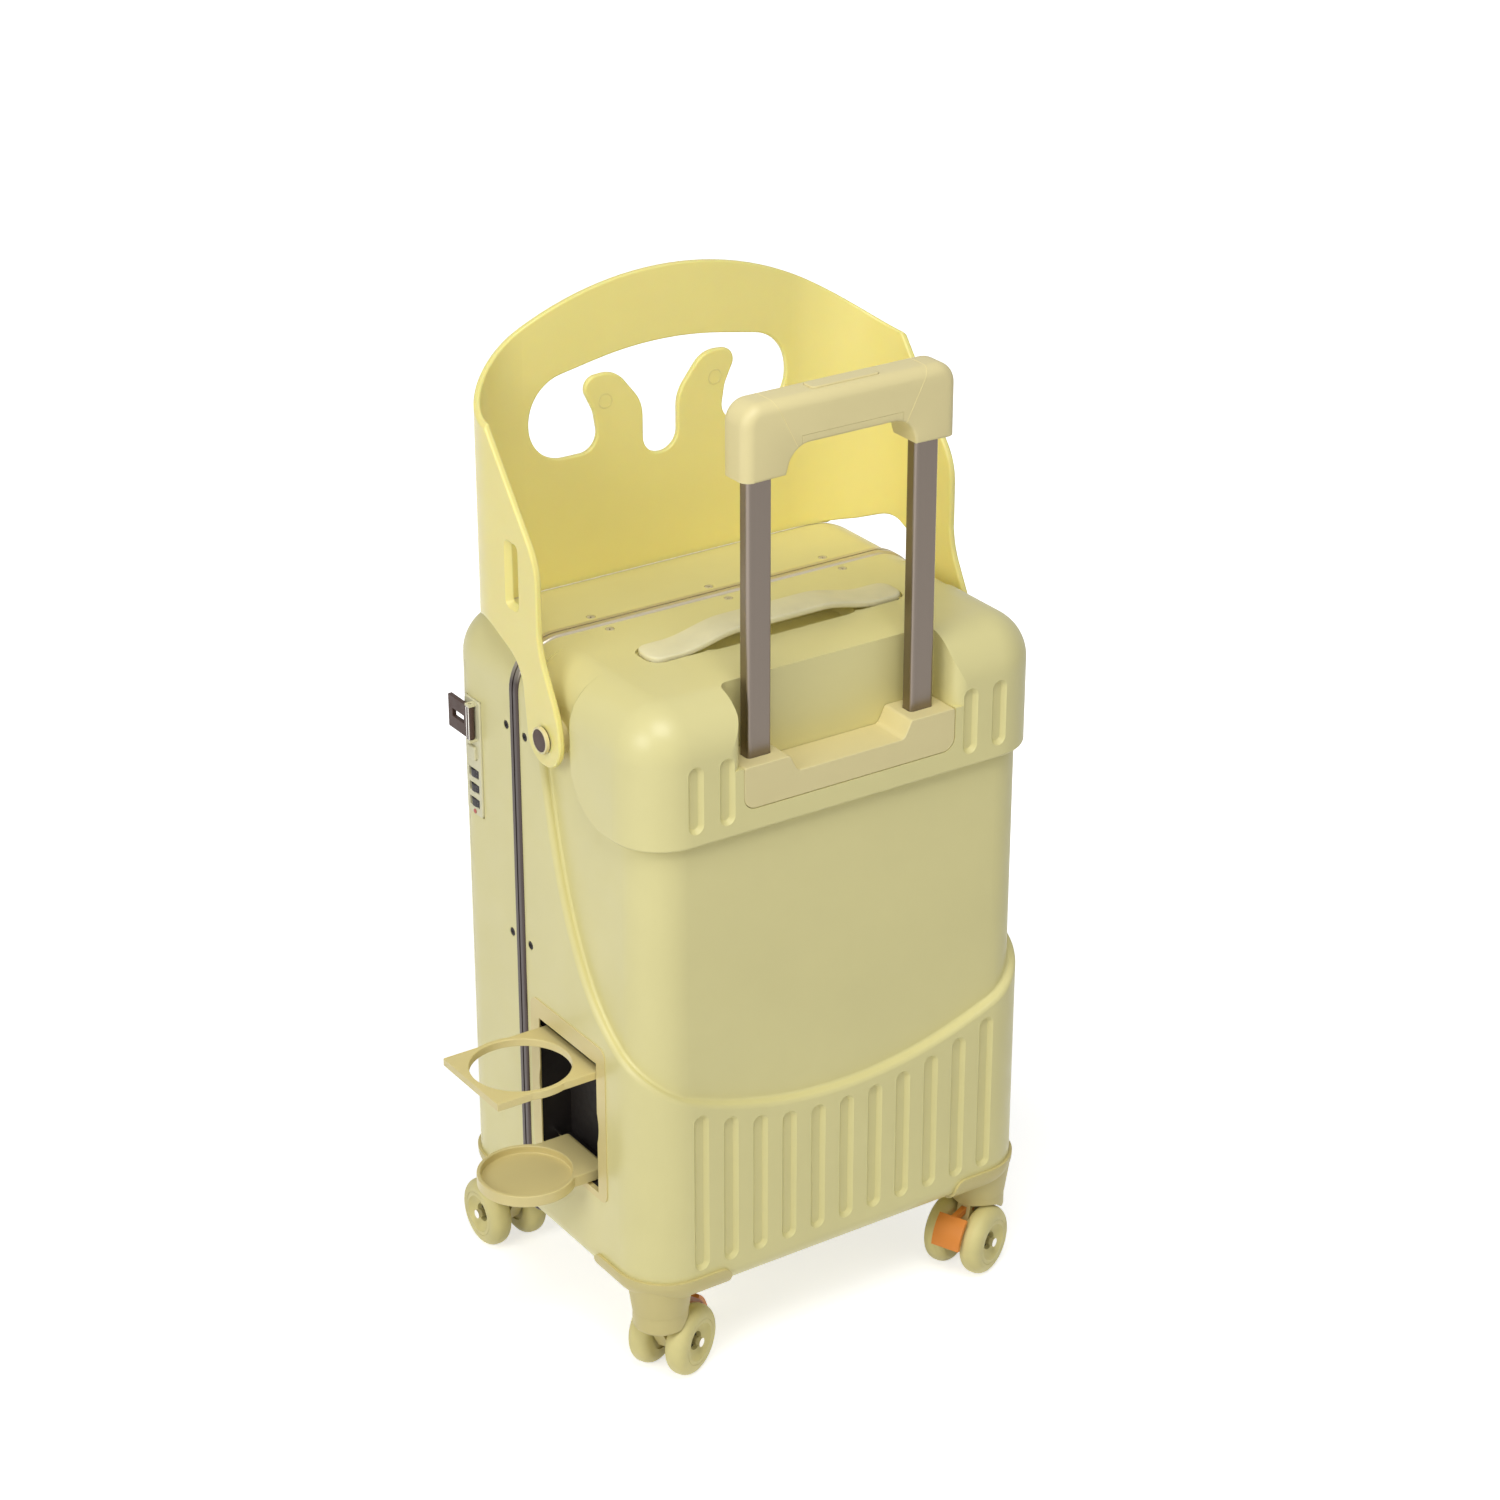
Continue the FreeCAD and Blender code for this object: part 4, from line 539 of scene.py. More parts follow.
@kept
def moulded(name, colour, roughness=0.40, grain=0.10, depth=0.022, coat=0.0, soft=0.0):
    """Satin moulded plastic: fine spark grain, faint flow marks and uneven gloss."""
    finish = Finish(name)
    flow = finish.noise(9.0, 3.0, 0.55)
    fine = finish.noise(1500.0, 2.0, 0.6)
    finish.feed("Base Color", finish.tones(flow, colour, depth))
    finish.feed("Roughness", finish.spread(finish.noise(55.0, 3.0), roughness - 0.05, roughness + 0.05))
    finish.feed("Normal", finish.relief(fine, grain, 0.0002))
    finish.value(specular_ior_level=0.42)
    if coat:
        finish.shader.inputs["Coat Weight"].default_value = coat
        finish.shader.inputs["Coat Roughness"].default_value = 0.22
    if soft:
        finish.shader.inputs["Subsurface Weight"].default_value = soft
        finish.shader.inputs["Subsurface Radius"].default_value = (0.006, 0.0045, 0.0018)
        finish.shader.inputs["Subsurface Scale"].default_value = 1.0
    return finish.material


@kept
def drawn_metal(name, colour, roughness, stretch, depth=0.05, bite=0.06):
    """Anodised metal with fine lines along the way it was drawn."""
    finish = Finish(name)
    lines = finish.noise(1.0, 3.0, 0.6, finish.stretched(stretch))
    finish.feed("Base Color", finish.tones(lines, colour, depth))
    finish.feed("Roughness", finish.spread(lines, roughness - bite / 2, roughness + bite / 2))
    finish.feed("Normal", finish.relief(lines, bite / 2, 0.0001))
    finish.value(metallic=1.0)
    return finish.material


@kept
def worn_strip(name, colour, top_highlight, low, high, metal=0.75):
    """Drawn strip whose dark colour is painted pale above a height, a painted highlight on its top."""
    finish = Finish(name)
    lines = finish.noise(1.0, 3.0, 0.6, finish.stretched((30, 400, 30)))
    split = finish.nodes.new("ShaderNodeSeparateXYZ")
    finish.links.new(finish.place, split.inputs["Vector"])
    # Blend from the dark colour below to the pale one above: painted highlight on the top.
    blend = finish.nodes.new("ShaderNodeMix")
    blend.data_type = "RGBA"
    finish.links.new(finish.spread(split.outputs["Z"], 0, 1, low, high), blend.inputs["Factor"])
    finish.links.new(finish.tones(lines, colour, 0.03), blend.inputs["A"])
    finish.links.new(finish.tones(lines, top_highlight, 0.03), blend.inputs["B"])
    finish.feed("Base Color", blend.outputs["Result"])
    finish.feed("Roughness", finish.spread(lines, 0.30, 0.42))
    finish.value(metallic=metal)
    return finish.material


@kept
def bright_metal(name, colour, roughness=0.16):
    """Polished metal with faint handling marks."""
    finish = Finish(name)
    marks = finish.noise(220.0, 4.0, 0.65)
    finish.feed("Base Color", finish.tones(marks, colour, 0.04))
    finish.feed("Roughness", finish.spread(marks, roughness - 0.05, roughness + 0.09))
    finish.feed("Normal", finish.relief(finish.noise(900.0), 0.03, 0.0001))
    finish.value(metallic=1.0)
    return finish.material


@kept
def rubbery(name, colour, roughness=0.58):
    """Soft moulded rubber with a dry, fine-pored skin."""
    finish = Finish(name)
    finish.feed("Base Color", finish.tones(finish.noise(40.0, 4.0), colour, 0.06))
    finish.feed("Roughness", finish.spread(finish.noise(160.0, 3.0), roughness - 0.07, roughness + 0.07))
    finish.feed("Normal", finish.relief(finish.cells(1100.0), 0.12, 0.0002))
    finish.value(specular_ior_level=0.35)
    return finish.material


@kept
def enamel(name, colour, roughness=0.28, gloss=0.5):
    """Painted or printed colour with a slight orange peel."""
    finish = Finish(name)
    finish.feed("Base Color", finish.tones(finish.noise(70.0, 3.0), colour, 0.05))
    finish.feed("Roughness", finish.spread(finish.noise(130.0), roughness - 0.05, roughness + 0.06))
    finish.feed("Normal", finish.relief(finish.noise(700.0), 0.05, 0.0001))
    finish.value(specular_ior_level=gloss)
    return finish.material


def palette():
    """Colours of this scene's suitcase."""
    return bpy.context.scene.ride_case_colours


def lengths():
    """Sizes of this scene's fittings."""
    return bpy.context.scene.ride_case_sizes


def shell_finish():
    """Plastic of the shells and the lid."""
    return moulded("Shell satin plastic", palette().shell, roughness=0.38, grain=0.08, coat=0.05)


def trim_finish():
    """Plastic of the grip and the bezels."""
    return moulded("Trim moulded plastic", palette().trim, roughness=0.42, grain=0.12)


def steel_finish():
    """Steel of pins, rods and axles."""
    return bright_metal("Bright steel", palette().steel)


def brown_finish():
    """Enamel of the bolt caps and the latch."""
    return enamel("Brown enamel", palette().brown, roughness=0.45, gloss=0.22)


def fork_finish():
    """Nylon of the forks and corner guards."""
    return moulded("Khaki nylon", palette().fork, roughness=0.46, grain=0.14, depth=0.03)


class RIDECASE_OT_shells(bpy.types.Operator):
    """Finish the two shells and the front lid"""

    bl_idname = "ridecase.shells"
    bl_label = "Shells"

    def execute(self, context):
        dress(shell_finish(), "back_shell", "front_shell", "front_lid")
        return {"FINISHED"}


def open_disc(vertices, radius, height, edge, segments):
    """Round plate below z = 0 with a rounded upper edge, in edit mode with its top face selected."""
    clear_selection()
    bpy.ops.mesh.primitive_cylinder_add(vertices=vertices, radius=radius, depth=height,
                                        location=(0, 0, -height / 2))
    disc = bpy.context.object
    settle(disc)
    open_mesh(disc, "EDGE")
    pick_edges(disc, lambda a, b: a.z > -MERGE and b.z > -MERGE)
    bpy.ops.mesh.bevel(offset=edge, segments=segments, affect="EDGES")
    bpy.ops.mesh.select_mode(type="FACE")
    pick_faces(disc, lambda middle, normal: normal.z > 0.99 and middle.z > -MERGE)
    return disc


def model_screw(radius, height):
    """Cross-recess screw head with a soft edge, its top at z = 0."""
    sizes = lengths()
    head = open_disc(40, radius, height, sizes.screw_edge, 3)
    bpy.ops.mesh.inset(thickness=sizes.screw_edge)
    push(sizes.screw_edge / 2)
    close_mesh()
    deep = SCREW_CROSS_DEPTH * height
    for x, y in ((sizes.screw_cross, sizes.screw_slot), (sizes.screw_slot, sizes.screw_cross)):
        carve(head, block((-x, -y, -deep), (x, y, deep)))
    shade(head)
    return head


class RIDECASE_OT_frame(bpy.types.Operator):
    """Finish the metal frame and model its screws"""

    bl_idname = "ridecase.frame"
    bl_label = "Frame and screws"

    def execute(self, context):
        colours, sizes = palette(), lengths()
        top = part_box("frame_back_rail")[1][2]
        # Band below the top over which the rails and seal are painted pale as a painted highlight.
        top_highlight = (top - sizes.wear_low, top - sizes.wear_high)
        rail = worn_strip("Bronze rail", colours.rail, colours.rail_top, *top_highlight)
        dress(rail, "frame_back_rail", "frame_front_rail")
        dress(worn_strip("Seal rubber", colours.seal, colours.seal_top, *top_highlight, metal=0.0), "frame_seal")
        top_heads, side_heads = [], []
        pattern = None
        for low, high in part_boxes("frame_screws"):
            middle, size = (low + high) / 2, high - low
            upright = size.z < size.x
            if pattern is None:
                radius = (size.x if upright else size.z) / 2
                pattern = model_screw(sizes.screw_head, SCREW_HEIGHT * radius)
            if upright:
                place, way = (middle.x, middle.y, high.z), (0, 0, 1)
                turn = middle.x * TOP_SCREW_TURN + TOP_SCREW_START
            else:
                side = 1 if middle.x > 0 else -1
                place, way = (high.x if side > 0 else low.x, middle.y, middle.z), (side, 0, 0)
                turn = middle.z * SIDE_SCREW_TURN
            head = own_copy(pattern, "screw_head")
            settle(head, facing(place, way) @ Matrix.Rotation(turn, 4, "Z"))
            (top_heads if upright else side_heads).append(head)
        bpy.data.objects.remove(pattern)
        top = unite("top_screws", top_heads)
        rest_on(top, "case", "steel", enamel("Pale screw enamel", colours.brass, 0.34), brown_finish())
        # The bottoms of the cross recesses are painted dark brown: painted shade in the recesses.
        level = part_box("frame_screws")[1][2] - sizes.screw_edge * 0.8
        paint_faces(top, 1, lambda at, normal: at.z < level and abs(normal.z) > 0.9)
        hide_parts("frame_screws")
        side = unite("side_screws", side_heads)
        rest_on(side, "case", "steel", enamel("Black screw enamel", colours.black, 0.45, 0.22))
        return {"FINISHED"}


class RIDECASE_OT_hinges(bpy.types.Operator):
    """Finish the lid's hinges"""

    bl_idname = "ridecase.hinges"
    bl_label = "Lid hinges"

    def execute(self, context):
        # The hinges take the pale bronze that the rails' top is painted with as a painted highlight.
        dress(drawn_metal("Bronze hinge", palette().rail_top, 0.34, (400, 400, 20)), "lid_hinge_shell_leaves",
              "lid_hinge_lid_leaves")
        dress(steel_finish(), "lid_hinge_pins")
        return {"FINISHED"}


def surface_line(piece, name, place, normal, wire):
    """Turns a copy of a piece into the fine line where a plane cuts its skin."""
    open_mesh(piece)
    bpy.ops.mesh.select_all(action="SELECT")
    bpy.ops.mesh.bisect(plane_co=place, plane_no=normal, clear_inner=True, clear_outer=True, threshold=CUT)
    bpy.ops.mesh.select_all(action="SELECT")
    bpy.ops.mesh.remove_doubles(threshold=LINE_MERGE)
    close_mesh()
    if not piece.data.edges:
        raise RuntimeError("the plane of %s misses the solid" % name)
    choose(piece)
    bpy.ops.object.convert(target="CURVE")
    piece = bpy.context.object
    piece.data.bevel_depth = wire
    piece.data.bevel_resolution = 1
    bpy.ops.object.convert(target="MESH")
    piece = bpy.context.object
    piece.name = name
    piece.data.name = name
    shade(piece, 60)
    return piece


def arch_cutter(low, high, foot):
    """Finger room under the grip bar: wider at its foot, with round upper corners."""
    sizes = lengths()
    half = sizes.arch_half
    past = sizes.grip_round
    cutter = block((-half, low.y - past, low.z - past), (half, high.y + past, foot))
    open_mesh(cutter)
    pick_faces(cutter, lambda middle, normal: normal.z < -0.9)
    bpy.ops.transform.resize(value=(1 + sizes.arch_flare / half, 1, 1))
    bpy.ops.mesh.select_mode(type="EDGE")
    pick_edges(cutter, lambda a, b: min(a.z, b.z) > foot - MERGE and abs(a.x - b.x) < MERGE)
    bpy.ops.mesh.bevel(offset=sizes.arch_round, segments=12, affect="EDGES")
    close_mesh()
    return cutter


def button_pocket(top):
    """Room for the button in the top of the grip."""
    sizes = lengths()
    low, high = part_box("grip_button")
    half = sizes.button_length / 2 + sizes.seam
    pocket = block((-half, low[1] - sizes.seam, top - sizes.button_pocket),
                   (half, high[1] + sizes.seam, top + sizes.button_pocket))
    open_mesh(pocket, "EDGE")
    pick_edges(pocket, lambda a, b: abs(a.z - b.z) > sizes.button_pocket)
    bpy.ops.mesh.bevel(offset=sizes.button_corner, segments=6, affect="EDGES")
    close_mesh()
    return pocket


def model_grip():
    """Grip with round upper corners, an arch for the fingers and its button's pocket, and the cover below."""
    sizes = lengths()
    low, high = [Vector(corner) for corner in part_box("grip_body")]
    foot = low.z + sizes.arch_height
    grip = block(low, high)

    def on_side(a, b):
        return abs(a.y - b.y) < MERGE and min(abs(a.y - low.y), abs(a.y - high.y)) < MERGE

    open_mesh(grip, "EDGE")
    pick_edges(grip, lambda a, b: min(a.z, b.z) > high.z - MERGE and abs(a.x - b.x) < MERGE)
    bpy.ops.mesh.bevel(offset=sizes.grip_corner, segments=12, affect="EDGES")
    pick_edges(grip, lambda a, b: on_side(a, b) and max(a.z, b.z) > low.z + MERGE)
    bpy.ops.mesh.bevel(offset=sizes.grip_round, segments=8, affect="EDGES")
    close_mesh()
    carve(grip, arch_cutter(low, high, foot))
    open_mesh(grip, "EDGE")
    pick_edges(grip, lambda a, b: on_side(a, b) and max(a.z, b.z) < foot + MERGE)
    bpy.ops.mesh.bevel(offset=sizes.grip_edge, segments=4, affect="EDGES")
    close_mesh()
    past = sizes.grip_round
    half = sizes.cover_half
    cover = own_copy(grip, "grip_cover_strip")
    carve(cover, block((-half, low.y - past, foot - past), (half, high.y + past, foot + sizes.cover_height)),
          "INTERSECT")
    half += sizes.seam
    carve(grip, block((-half, low.y - past, foot - past),
                      (half, high.y + past, foot + sizes.cover_height + sizes.seam)))
    carve(grip, button_pocket(high.z))
    grip.name = "grip_shell"
    shade(grip, 32)
    shade(cover, 32)
    return grip, cover


class RIDECASE_OT_trolley(bpy.types.Operator):
    """Finish the telescopic trolley and model its grip"""

    bl_idname = "ridecase.trolley"
    bl_label = "Trolley and grip"

    def execute(self, context):
        colours, sizes = palette(), lengths()
        tube = drawn_metal("Champagne tube", colours.tube, 0.33, (500, 500, 3), depth=0.012, bite=0.02)
        dress(tube, "trolley_inner_tubes", "trolley_outer_tubes")
        dress(trim_finish(), "trolley_bezel", "grip_body", "grip_cover", "trolley_base", "trolley_feet")
        dress(moulded("Button plastic", toned(colours.trim, 0.97), roughness=0.36), "grip_button")
        dress(steel_finish(), "release_rods")
        grip, cover = model_grip()
        low, high = [Vector(corner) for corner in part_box("grip_body")]
        foot = low.z + sizes.arch_height
        lines = []
        for side in (-1, 1):
            place = (side * sizes.line_reach, (low.y + high.y) / 2, (foot + high.z) / 2)
            across = (-side * PARTING_SLANT[0], 0, PARTING_SLANT[1])
            copy = own_copy(grip, "grip_line")
            lines.append(surface_line(copy, "grip_line", place, across, sizes.line_wire))
        line = unite("grip_parting_lines", lines)
        # The parting lines are painted paler than the trim: painted highlight where the fine grooves catch the
        # light.
        pale = moulded("Parting line plastic", toned(colours.trim, 1.12), roughness=0.5)
        rest_on(line, "trolley", "trim", pale)
        rest_on(grip, "trolley", "trim", trim_finish())
        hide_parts("grip_body")
        rest_on(cover, "trolley", "trim", trim_finish())
        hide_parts("grip_cover")
        return {"FINISHED"}


def model_strap():
    """Carry strap: a flat band with round ends that rises to its middle."""
    sizes = lengths()
    low, high = [Vector(corner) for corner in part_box("carry_strap")]
    strap = block(low, (high.x, high.y, low.z + sizes.strap_thick))
    strap.name = "soft_carry_strap"
    half = (high.y - low.y) / 2
    middle_y = (high.y + low.y) / 2
    step = (high.x - low.x) / STRAP_PARTS
    rise = high.z - low.z - sizes.strap_thick
    corner = sizes.strap_corner
    open_mesh(strap, "EDGE")
    pick_edges(strap, lambda a, b: abs(a.x - b.x) > half)
    bpy.ops.mesh.subdivide(number_cuts=STRAP_PARTS - 1)
    bpy.ops.mesh.select_mode(type="VERT")
    for k in range(STRAP_PARTS + 1):
        x = low.x + k * step
        pick_points(strap, lambda place: abs(place.x - x) < step / 3)
        from_end = min(x - low.x, high.x - x)
        if from_end < corner:
            wide = half - corner + math.sqrt(max(corner ** 2 - (corner - from_end) ** 2, 0))
            bpy.ops.transform.resize(value=(1, wide / half, 1), center_override=(x, middle_y, low.z))
        part = min(max((sizes.strap_foot - abs(x)) / (sizes.strap_foot - sizes.strap_flat), 0), 1)
        if part > 0:
            bpy.ops.transform.translate(value=(0, 0, rise * part * part * (3 - 2 * part)))
    bpy.ops.mesh.select_mode(type="EDGE")
    bpy.ops.mesh.select_all(action="DESELECT")
    bpy.ops.mesh.edges_select_sharp(sharpness=math.radians(60))
    bpy.ops.mesh.bevel(offset=sizes.strap_edge, segments=4, affect="EDGES")
    close_mesh()
    shade(strap, 40)
    return strap


class RIDECASE_OT_strap(bpy.types.Operator):
    """Model the carry strap"""

    bl_idname = "ridecase.strap"
    bl_label = "Carry strap"

    def execute(self, context):
        dress(steel_finish(), "strap_anchors")
        strap = model_strap()
        rest_on(strap, "strap", "strap", rubbery("Strap skin", palette().strap, 0.50))
        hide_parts("carry_strap")
        return {"FINISHED"}


def model_bolt_cap(radius, height):
    """Pivot bolt cap with a pale rim and a sunk dark disc, its top at z = 0."""
    sizes = lengths()
    cap = open_disc(72, radius, height, sizes.cap_edge, 4)
    bpy.ops.mesh.inset(thickness=sizes.cap_rim)
    push(sizes.cap_sink)
    bpy.ops.mesh.inset(thickness=sizes.cap_rim / 3)
    push(sizes.cap_sink, (0, 0, 1))
    bpy.ops.mesh.inset(thickness=radius / 4)
    push(sizes.cap_sink / 4, (0, 0, 1))
    close_mesh()
    shade(cap, 40)
    return cap


def model_guard_lip():
    """Soft lip along the foot of the guard's back wall that closes its gap over the case."""
    sizes = lengths()
    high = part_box("guard")[1]
    case_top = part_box("front_shell")[1][2]
    lip = node_copy("guard", "guard_foot_lip")
    open_mesh(lip)
    bpy.ops.mesh.select_all(action="SELECT")
    bpy.ops.mesh.bisect(plane_co=(0, 0, case_top + sizes.lip_height), plane_no=(0, 0, 1), clear_outer=True,
                        use_fill=True, threshold=CUT)
    bpy.ops.mesh.select_all(action="SELECT")
    bpy.ops.mesh.bisect(plane_co=(0, high[1] - 2 * sizes.guard_wall, 0), plane_no=(0, -1, 0),
                        clear_outer=True, use_fill=True, threshold=CUT)
    bpy.ops.mesh.select_all(action="SELECT")
    bpy.ops.transform.translate(value=(0, 0, -sizes.lip_drop))
    bpy.ops.transform.shrink_fatten(value=-sizes.lip_inset)
    bpy.ops.mesh.normals_make_consistent(inside=False)
    close_mesh()
    shade(lip, 32)
    return lip


class RIDECASE_OT_guard(bpy.types.Operator):
    """Finish the rider guard and model its pivot caps and raised marks"""

    bl_idname = "ridecase.guard"
    bl_label = "Rider guard"

    def execute(self, context):
        colours, sizes = palette(), lengths()
        guard = moulded("Guard plastic", colours.guard, roughness=0.34, grain=0.06, depth=0.018,
                        coat=0.12, soft=0.35)
        dress(guard, "guard")
        dress(trim_finish(), "guard_washers")
        dress(steel_finish(), "guard_nuts")
        dress(brown_finish(), "guard_bolts")
        rim = enamel("Cap rim", colours.trim, roughness=0.25)
        caps = []
        for low, high in part_boxes("guard_bolts"):
            side = 1 if (low.x + high.x) > 0 else -1
            radius = (high.z - low.z) / 2
            middle = (low + high) / 2
            outer = (high.x if side > 0 else low.x) + side * sizes.cap_stand
            cap = model_bolt_cap(radius + sizes.cap_rim / 2, CAP_HEIGHT * radius)
            cap.data.materials.append(rim)
            cap.data.materials.append(brown_finish())
            paint_faces(cap, 1, lambda at, normal, r=radius - sizes.cap_rim: at.xy.length < r)
            settle(cap, facing((outer, middle.y, middle.z), (side, 0, 0)))
            caps.append(cap)
        cap = unite("pivot_caps", caps)
        rest_on(cap, "case", "bolt")
        low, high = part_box("guard")
        marks = []
        for side in (-1, 1):
            clear_selection()
            bpy.ops.mesh.primitive_torus_add(major_radius=sizes.mark_radius, minor_radius=sizes.mark_wire,
                                             major_segments=48, minor_segments=10)
            mark = bpy.context.object
            bpy.ops.object.mode_set(mode="EDIT")
            bpy.ops.mesh.select_all(action="SELECT")
            bpy.ops.transform.resize(value=(1, 1, 0.7))
            close_mesh()
            place = (side * sizes.mark_reach, high.y - sizes.guard_wall, high.z - sizes.mark_drop)
            settle(mark, facing(place, (0, -1, 0)))
            shade(mark, 60)
            marks.append(mark)
        mark = unite("guard_marks", marks)
        rest_on(mark, "guard_frame", "guard", guard)
        rest_on(model_guard_lip(), "guard_frame", "guard", guard)
        return {"FINISHED"}


class RIDECASE_OT_cup_holder(bpy.types.Operator):
    """Finish the fold-out cup holder and put a near-black sheet of painted shade in its recess"""

    bl_idname = "ridecase.cup_holder"
    bl_label = "Cup holder"

    def execute(self, context):
        colours, sizes = palette(), lengths()
        holder = moulded("Cup holder plastic", colours.cup_holder, depth=0.025)
        dress(holder, "cup_bezel", "cup_shelf", "cup_tray")
        dress(steel_finish(), "cup_shelf_pin", "cup_tray_pin")
        openings = frame["record"]["physics"]["openings"]
        mouth = next(entry["box_m"][0][0] for entry in openings if entry["name"] == "cup_recess")
        low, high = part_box("cup_bezel")
        middle_y = (low.y + high.y) / 2
        half_y = sizes.recess_half - sizes.lining_gap
        foot, head = low.z + sizes.recess_foot + sizes.lining_gap, low.z + sizes.recess_head - sizes.lining_gap
        # A near-black sheet just inside the recess's walls and roof: painted shade in the recess.
        lining = block((mouth + sizes.recess_front, middle_y - half_y, foot),
                       (high.x - sizes.recess_wall - sizes.lining_gap, middle_y + half_y, head))
        open_mesh(lining)
        pick_faces(lining, lambda middle, normal: normal.x < -0.9)
        bpy.ops.mesh.delete(type="FACE")
        bpy.ops.mesh.select_all(action="SELECT")
        bpy.ops.mesh.flip_normals()
        close_mesh()
        thicken = lining.modifiers.new("sheet", "SOLIDIFY")
        thicken.thickness = sizes.lining_sheet
        thicken.offset = 1.0
        choose(lining)
        bpy.ops.object.modifier_apply(modifier=thicken.name)
        lining.name = "recess_lining"
        rest_on(lining, "case", "seal", rubbery("Recess lining", colours.lining, 0.7))
        return {"FINISHED"}


def model_dial(number, radius, width, shown):
    """Number dial: ridged drum about Z with ten raised numbers, one of which shows."""
    sizes, colours = lengths(), palette()
    clear_selection()
    count = sizes.knurl_count
    bpy.ops.mesh.primitive_cylinder_add(vertices=2 * count, radius=radius, depth=width)
    drum = bpy.context.object
    open_mesh(drum)

    def ridge(middle, normal):
        if abs(normal.z) > 0.5:
            return False
        turn = math.atan2(middle.y, middle.x) % (2 * math.pi)
        return int(turn / (math.pi / count)) % 2 == 0

    pick_faces(drum, ridge)
    bpy.ops.mesh.inset(thickness=radius * 0.02, use_individual=True)
    bpy.ops.transform.shrink_fatten(value=-sizes.knurl_depth)
    bpy.ops.mesh.select_mode(type="EDGE")
    pick_edges(drum, lambda a, b: abs(abs(a.z) - width / 2) < MERGE and abs(abs(b.z) - width / 2) < MERGE
               and abs(a.z - b.z) < MERGE)
    bpy.ops.mesh.bevel(offset=sizes.dial_edge, segments=2, affect="EDGES")
    close_mesh()
    shade(drum, 30)
    drum.data.materials.append(enamel("Dial plastic", colours.dial, 0.36))
    drum.data.materials.append(enamel("Number ink", colours.ink, 0.45))
    numbers = []
    for digit in range(10):
        clear_selection()
        bpy.ops.object.text_add()
        text = bpy.context.object
        text.data.body = str(digit)
        text.data.size = sizes.number_height
        text.data.align_x = "CENTER"
        text.data.align_y = "CENTER"
        text.data.extrude = sizes.number_depth
        bpy.ops.object.convert(target="MESH")
        text = bpy.context.object
        turn = math.pi + 2 * math.pi * (digit - shown) / 10
        way = Vector((math.cos(turn), math.sin(turn), 0))
        settle(text, facing(way * (radius + sizes.number_depth / 2), way))
        text.data.materials.clear()
        text.data.materials.append(drum.data.materials[1])
        numbers.append(text)
    return unite("lock_dial_numbers_%d" % number, [drum] + numbers)


class RIDECASE_OT_lock(bpy.types.Operator):
    """Finish the lock and model its number dials and latch edge"""

    bl_idname = "ridecase.lock"
    bl_label = "Combination lock"

    def execute(self, context):
        colours, sizes = palette(), lengths()
        plate = moulded("Lock plate plastic", colours.lock, roughness=0.34, grain=0.06)
        dress(plate, "lock_plate", "lock_button")
        dress(steel_finish(), "lock_latch_pin", "lock_dial_axle", "lock_keeper")
        dress(enamel("Indicator red", colours.red, 0.3), "lock_indicator")
        dress(brown_finish(), "lock_latch")
        for number, shown in enumerate(DIAL_NUMBERS, 1):
            place, axis = joint("dial_%d_turn" % number)
            node = "lock_dial_%d" % number
            low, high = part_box(node)
            radius = (high.y - low.y) / 2 - sizes.number_depth
            dial = model_dial(number, radius, high.z - low.z, shown)
            settle(dial, Matrix.Translation(place))
            rest_on(dial, "dial_%d" % number, "dial")
            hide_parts(node)
        low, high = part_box("lock_latch")
        edge = surface_line(node_copy("lock_latch", "latch_edge"), "latch_edge",
                            (low[0] + sizes.latch_wire, 0, 0), (1, 0, 0), sizes.latch_wire)
        rest_on(edge, "latch", "steel", steel_finish())
        return {"FINISHED"}


def model_wheel(radius, width):
    """Wheel about Z with a round tyre, a fine groove, a dished hub and a bore, its outer face at the top."""
    sizes = lengths()
    clear_selection()
    bpy.ops.mesh.primitive_cylinder_add(vertices=96, radius=radius, depth=width)
    wheel = bpy.context.object
    open_mesh(wheel, "EDGE")
    pick_edges(wheel, lambda a, b: abs(abs(a.z) - width / 2) < MERGE and abs(a.z - b.z) < MERGE)
    bpy.ops.mesh.bevel(offset=sizes.tyre_edge, segments=10, affect="EDGES")
    bpy.ops.mesh.select_mode(type="FACE")
    flat = radius - sizes.tyre_edge
    pick_faces(wheel, lambda middle, normal: normal.z > 0.99 and abs(middle.z - width / 2) < MERGE)
    bpy.ops.mesh.inset(thickness=sizes.tyre_flat)
    bpy.ops.mesh.inset(thickness=sizes.tyre_groove / 2)
    push(sizes.tyre_groove)
    bpy.ops.mesh.inset(thickness=sizes.tyre_groove / 2)
    push(sizes.tyre_groove, (0, 0, 1))
    bpy.ops.mesh.inset(thickness=flat - sizes.tyre_flat - sizes.tyre_groove - sizes.hub_radius)
    for depth, narrowing in HUB_STEPS:
        push(sizes.hub_depth * depth)
        bpy.ops.transform.resize(value=(narrowing, narrowing, 1))
    bpy.ops.mesh.inset(thickness=sizes.bore_lip)
    push(sizes.bore_rise, (0, 0, 1))
    bpy.ops.mesh.inset(thickness=sizes.bore_lip)
    push(sizes.bore_depth)
    pick_faces(wheel, lambda middle, normal: normal.z < -0.99 and abs(middle.z + width / 2) < MERGE)
    bpy.ops.mesh.inset(thickness=flat - sizes.hub_radius)
    push(sizes.hub_depth * 0.3, (0, 0, 1))
    close_mesh()
    shade(wheel, 32)
    return wheel


